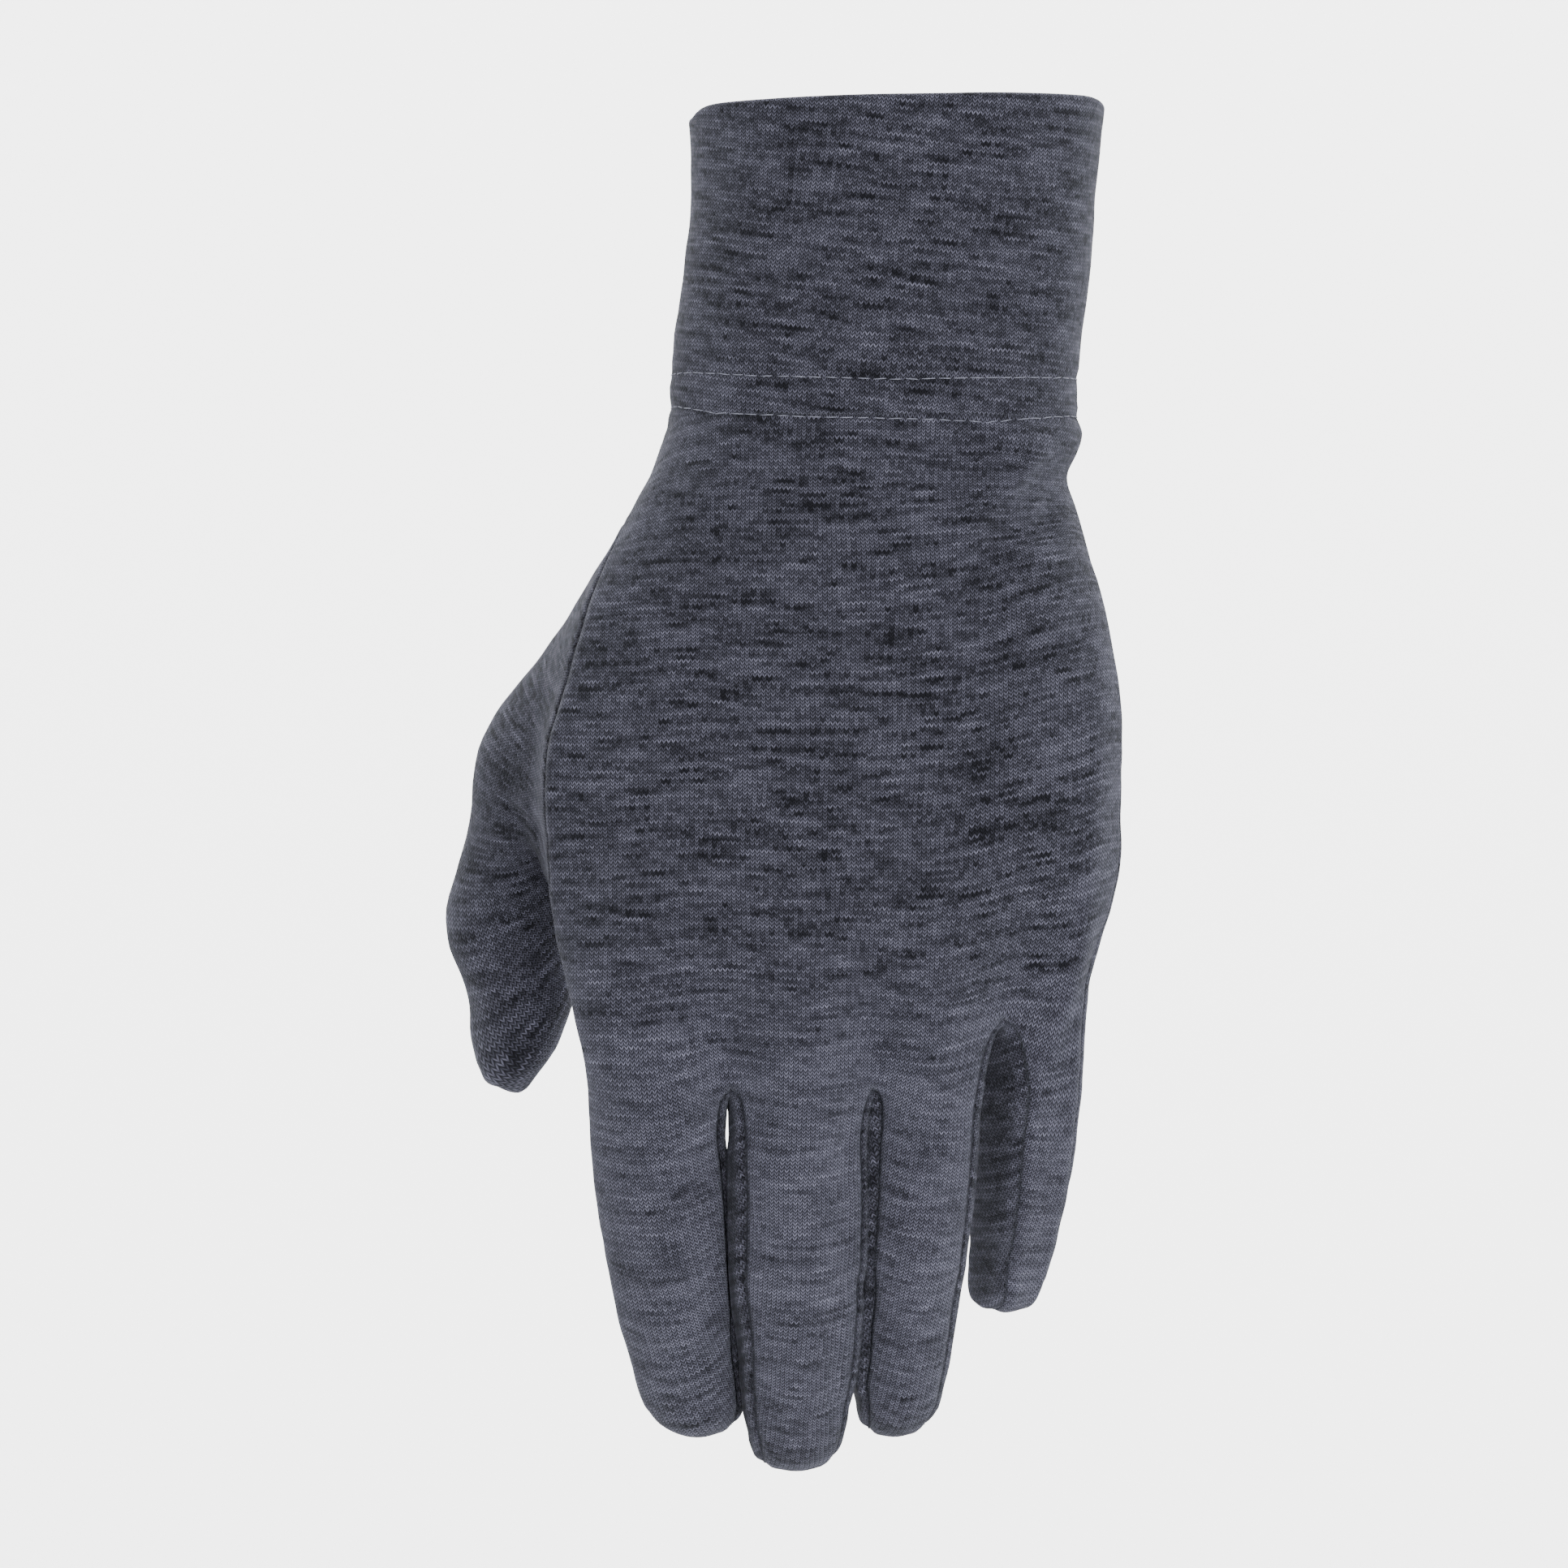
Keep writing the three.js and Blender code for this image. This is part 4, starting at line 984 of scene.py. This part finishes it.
# %% [markdown]
# ## Panels of cloth
#
# The skin is cut back into its panels, each its own piece, and each gets the thickness of its
# cloth: one layer in the hand, and the doubled hem in the cuff, whose edge is rounded because the
# cloth is folded there.

# %% Cut the skin into panels and give them thickness
HAND_CLOTH = 0.9 * MM
HEM_CLOTH = 1.9 * MM
HEM_ROUND = 0.85 * MM
HEM_SEGMENTS = 4
HEM_TURN = math.radians(60)
HEM_REACH = 12 * MM

skin_tree = BVHTree.FromPolygons([vertex.co.copy() for vertex in skin.data.vertices],
                                 [list(face.vertices) for face in skin.data.polygons])
select_only(skin)
bpy.ops.object.mode_set(mode="EDIT")
bpy.ops.mesh.select_all(action="SELECT")
bpy.ops.mesh.separate(type="MATERIAL")
bpy.ops.object.mode_set(mode="OBJECT")
panels = {}
for piece in list(bpy.context.selected_objects):
    used = {piece.data.materials[face.material_index].name for face in piece.data.polygons}
    name = used.pop().removesuffix("_cloth")
    piece.name = name + "_piece"
    piece.data.materials.clear()
    piece.data.materials.append(cloths[name])
    panels[name] = piece

for name, piece in panels.items():
    select_only(piece)
    thick = piece.modifiers.new("cloth", "SOLIDIFY")
    thick.thickness = HEM_CLOTH if name == "cuff" else HAND_CLOTH
    thick.offset = -1
    bpy.ops.object.modifier_apply(modifier="cloth")
    if name == "cuff":
        bpy.ops.object.mode_set(mode="EDIT")
        bpy.ops.mesh.select_all(action="DESELECT")
        bpy.ops.mesh.select_mode(type="EDGE")
        hem = bmesh.from_edit_mesh(piece.data)
        for edge in hem.edges:
            edge.select = (len(edge.link_faces) == 2
                           and edge.calc_face_angle() > HEM_TURN
                           and max(vertex.co.z for vertex in edge.verts) > -HEM_REACH)
        bmesh.update_edit_mesh(piece.data)
        bpy.ops.mesh.bevel(offset=HEM_ROUND, segments=HEM_SEGMENTS, affect="EDGES")
        bpy.ops.object.mode_set(mode="OBJECT")
    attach(piece, "root")
    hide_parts(name)
    print(piece.name, "faces:", len(piece.data.polygons))

# %% [markdown]
# ## The two rows of stitches
#
# Each stitch is a short straight thread that lies on the cloth and goes down into it at both ends.
# One thread is modelled, a thin rod whose ends bend down into the cloth, and copied along the two
# rows, with small differences in direction and length as a machine leaves them.

# %% One thread
STITCH_LENGTH = 2.35 * MM
THREAD_WIDE = 0.18 * MM
THREAD_BEND = 0.9
THREAD_BEND_POWER = 4

bpy.ops.mesh.primitive_cylinder_add(vertices=6, radius=THREAD_WIDE / 2, depth=STITCH_LENGTH)
thread = bpy.context.object
bpy.ops.object.mode_set(mode="EDIT")
bpy.ops.mesh.subdivide(number_cuts=1)
bpy.ops.object.mode_set(mode="OBJECT")
for vertex in thread.data.vertices:
    share = abs(vertex.co.z) / (STITCH_LENGTH / 2)
    vertex.co.x -= THREAD_WIDE * THREAD_BEND * share ** THREAD_BEND_POWER
bpy.ops.object.shade_smooth()
print("thread corners:", len(thread.data.vertices))


def thread_copy(matrix):
    """A copy of the thread with a mesh of its own, put where the matrix says."""
    copy = thread.copy()
    copy.data = thread.data.copy()
    bpy.context.collection.objects.link(copy)
    copy.matrix_world = matrix
    return copy


def join_threads(copies, name, paint):
    """One piece made of many threads, with its place in its mesh."""
    select_only(*copies)
    bpy.ops.object.join()
    joined = bpy.context.object
    bpy.ops.object.transform_apply(location=True, rotation=True, scale=True)
    joined.name = name
    joined.data.materials.clear()
    joined.data.materials.append(paint)
    return joined


def thread_material(name, roughness, fineness, dark, light):
    """A matt thread, mottled between two colours."""
    paint = bpy.data.materials.new(name)
    paint.use_nodes = True
    tree = paint.node_tree
    shader = tree.nodes["Principled BSDF"]
    shader.inputs["Roughness"].default_value = roughness
    object_place = add_node(tree, "ShaderNodeTexCoord").outputs["Object"]
    mottle = noise(tree, object_place, fineness, 2.0)
    mixed = add_node(tree, "ShaderNodeMix", {"Factor": mottle, "A": dark, "B": light},
                     data_type="RGBA")
    tree.links.new(mixed.outputs["Result"], shader.inputs["Base Color"])
    return paint


# %% The two rows at the cuff
STITCH_PITCH = 2.7 * MM
THREAD_SINK = 0.03 * MM
RING_STEPS = 720
RING_FAR = 0.2
RING_TRIES = 2
ROW_SIDES_PX = (838, 1330)
SEED = 7
LEAN_SPREAD = 0.05
SHORTEST, LONGEST = 0.85, 1.08

rng = np.random.default_rng(SEED)
row_x = [from_photo(px, 0)[0] for px in ROW_SIDES_PX]
row_middle = Vector((sum(row_x) / 2, 0, 0))


def ring_on_skin(row_px):
    """Places and normals round the cuff along a row, from rays toward the cuff's middle."""
    found = []
    for number in range(RING_STEPS):
        angle = 2 * math.pi * number / RING_STEPS
        outward = Vector((math.cos(angle), math.sin(angle), 0))
        height = row_height(row_px, row_middle.x)
        for _ in range(RING_TRIES):
            aim = Vector((row_middle.x, row_middle.y, height))
            place, normal, _, _ = skin_tree.ray_cast(aim + outward * RING_FAR, -outward)
            height = row_height(row_px, place.x)
        found.append((place, normal))
    return found


thread_paint = thread_material("stitch_thread", 0.7, 900,
                               dark=(0.12, 0.125, 0.165, 1), light=(0.36, 0.37, 0.46, 1))
for label, row_px in (("upper", UPPER_ROW_PX), ("lower", LOWER_ROW_PX)):
    ring = ring_on_skin(row_px)
    lengths = [0.0]
    for (first, _), (second, _) in zip(ring, ring[1:] + ring[:1]):
        lengths.append(lengths[-1] + (second - first).length)
    count = round(lengths[-1] / STITCH_PITCH)
    copies = []
    for number in range(count):
        reached = (number + 0.5) * lengths[-1] / count
        at = min(int(np.searchsorted(lengths, reached)), RING_STEPS) % RING_STEPS
        place, normal = ring[at]
        along = (ring[(at + 1) % RING_STEPS][0] - ring[at - 1][0]).normalized()
        side = normal.cross(along).normalized()
        turn = Matrix((normal, side, along)).transposed().to_4x4()
        lean = Matrix.Rotation(rng.normal(0, LEAN_SPREAD), 4, "X")
        size = Matrix.Diagonal((1, 1, rng.uniform(SHORTEST, LONGEST), 1))
        lift = normal * (THREAD_WIDE / 2 - THREAD_SINK)
        copies.append(thread_copy(Matrix.Translation(place + lift) @ turn @ lean @ size))
    row = join_threads(copies, "cuff_stitches_" + label, thread_paint)
    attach(row, "root")
    print(row.name, "stitches:", count)

# %% [markdown]
# The finger and thumb seams are closed with a dark lockstitch, seen as a dotted line in the
# groove. Its stitches are about as long as the skin's own edges, so one is laid along each edge
# of a seam.

# %% The stitches in the seams
SEAM_THREAD_SHARE = 0.62
SEAM_THREAD_WIDE = 1.5
SEAM_STITCH_MIN = 0.45 * MM

dark_paint = thread_material("seam_thread", 0.85, 700,
                             dark=(0.010, 0.011, 0.017, 1), light=(0.05, 0.053, 0.075, 1))
copies = []
for first, second, normal in seam_runs:
    length = (second - first).length
    if length < SEAM_STITCH_MIN:
        continue
    along = (second - first).normalized()
    side = normal.cross(along).normalized()
    turn = Matrix((along.cross(side), side, along)).transposed().to_4x4()
    size = Matrix.Diagonal((SEAM_THREAD_WIDE, SEAM_THREAD_WIDE,
                            SEAM_THREAD_SHARE * length / STITCH_LENGTH, 1))
    deep = normal * (THREAD_WIDE / 2 - SEAM_DEPTH)
    copies.append(thread_copy(Matrix.Translation((first + second) / 2 + deep) @ turn @ size))
row = join_threads(copies, "seam_stitches", dark_paint)
bpy.ops.object.mode_set(mode="EDIT")
bpy.ops.mesh.select_all(action="SELECT")
bpy.ops.mesh.normals_make_consistent(inside=False)
bpy.ops.object.mode_set(mode="OBJECT")
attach(row, "root")
print("seam stitches:", len(copies), "faces:", len(row.data.polygons))
bpy.data.objects.remove(thread)
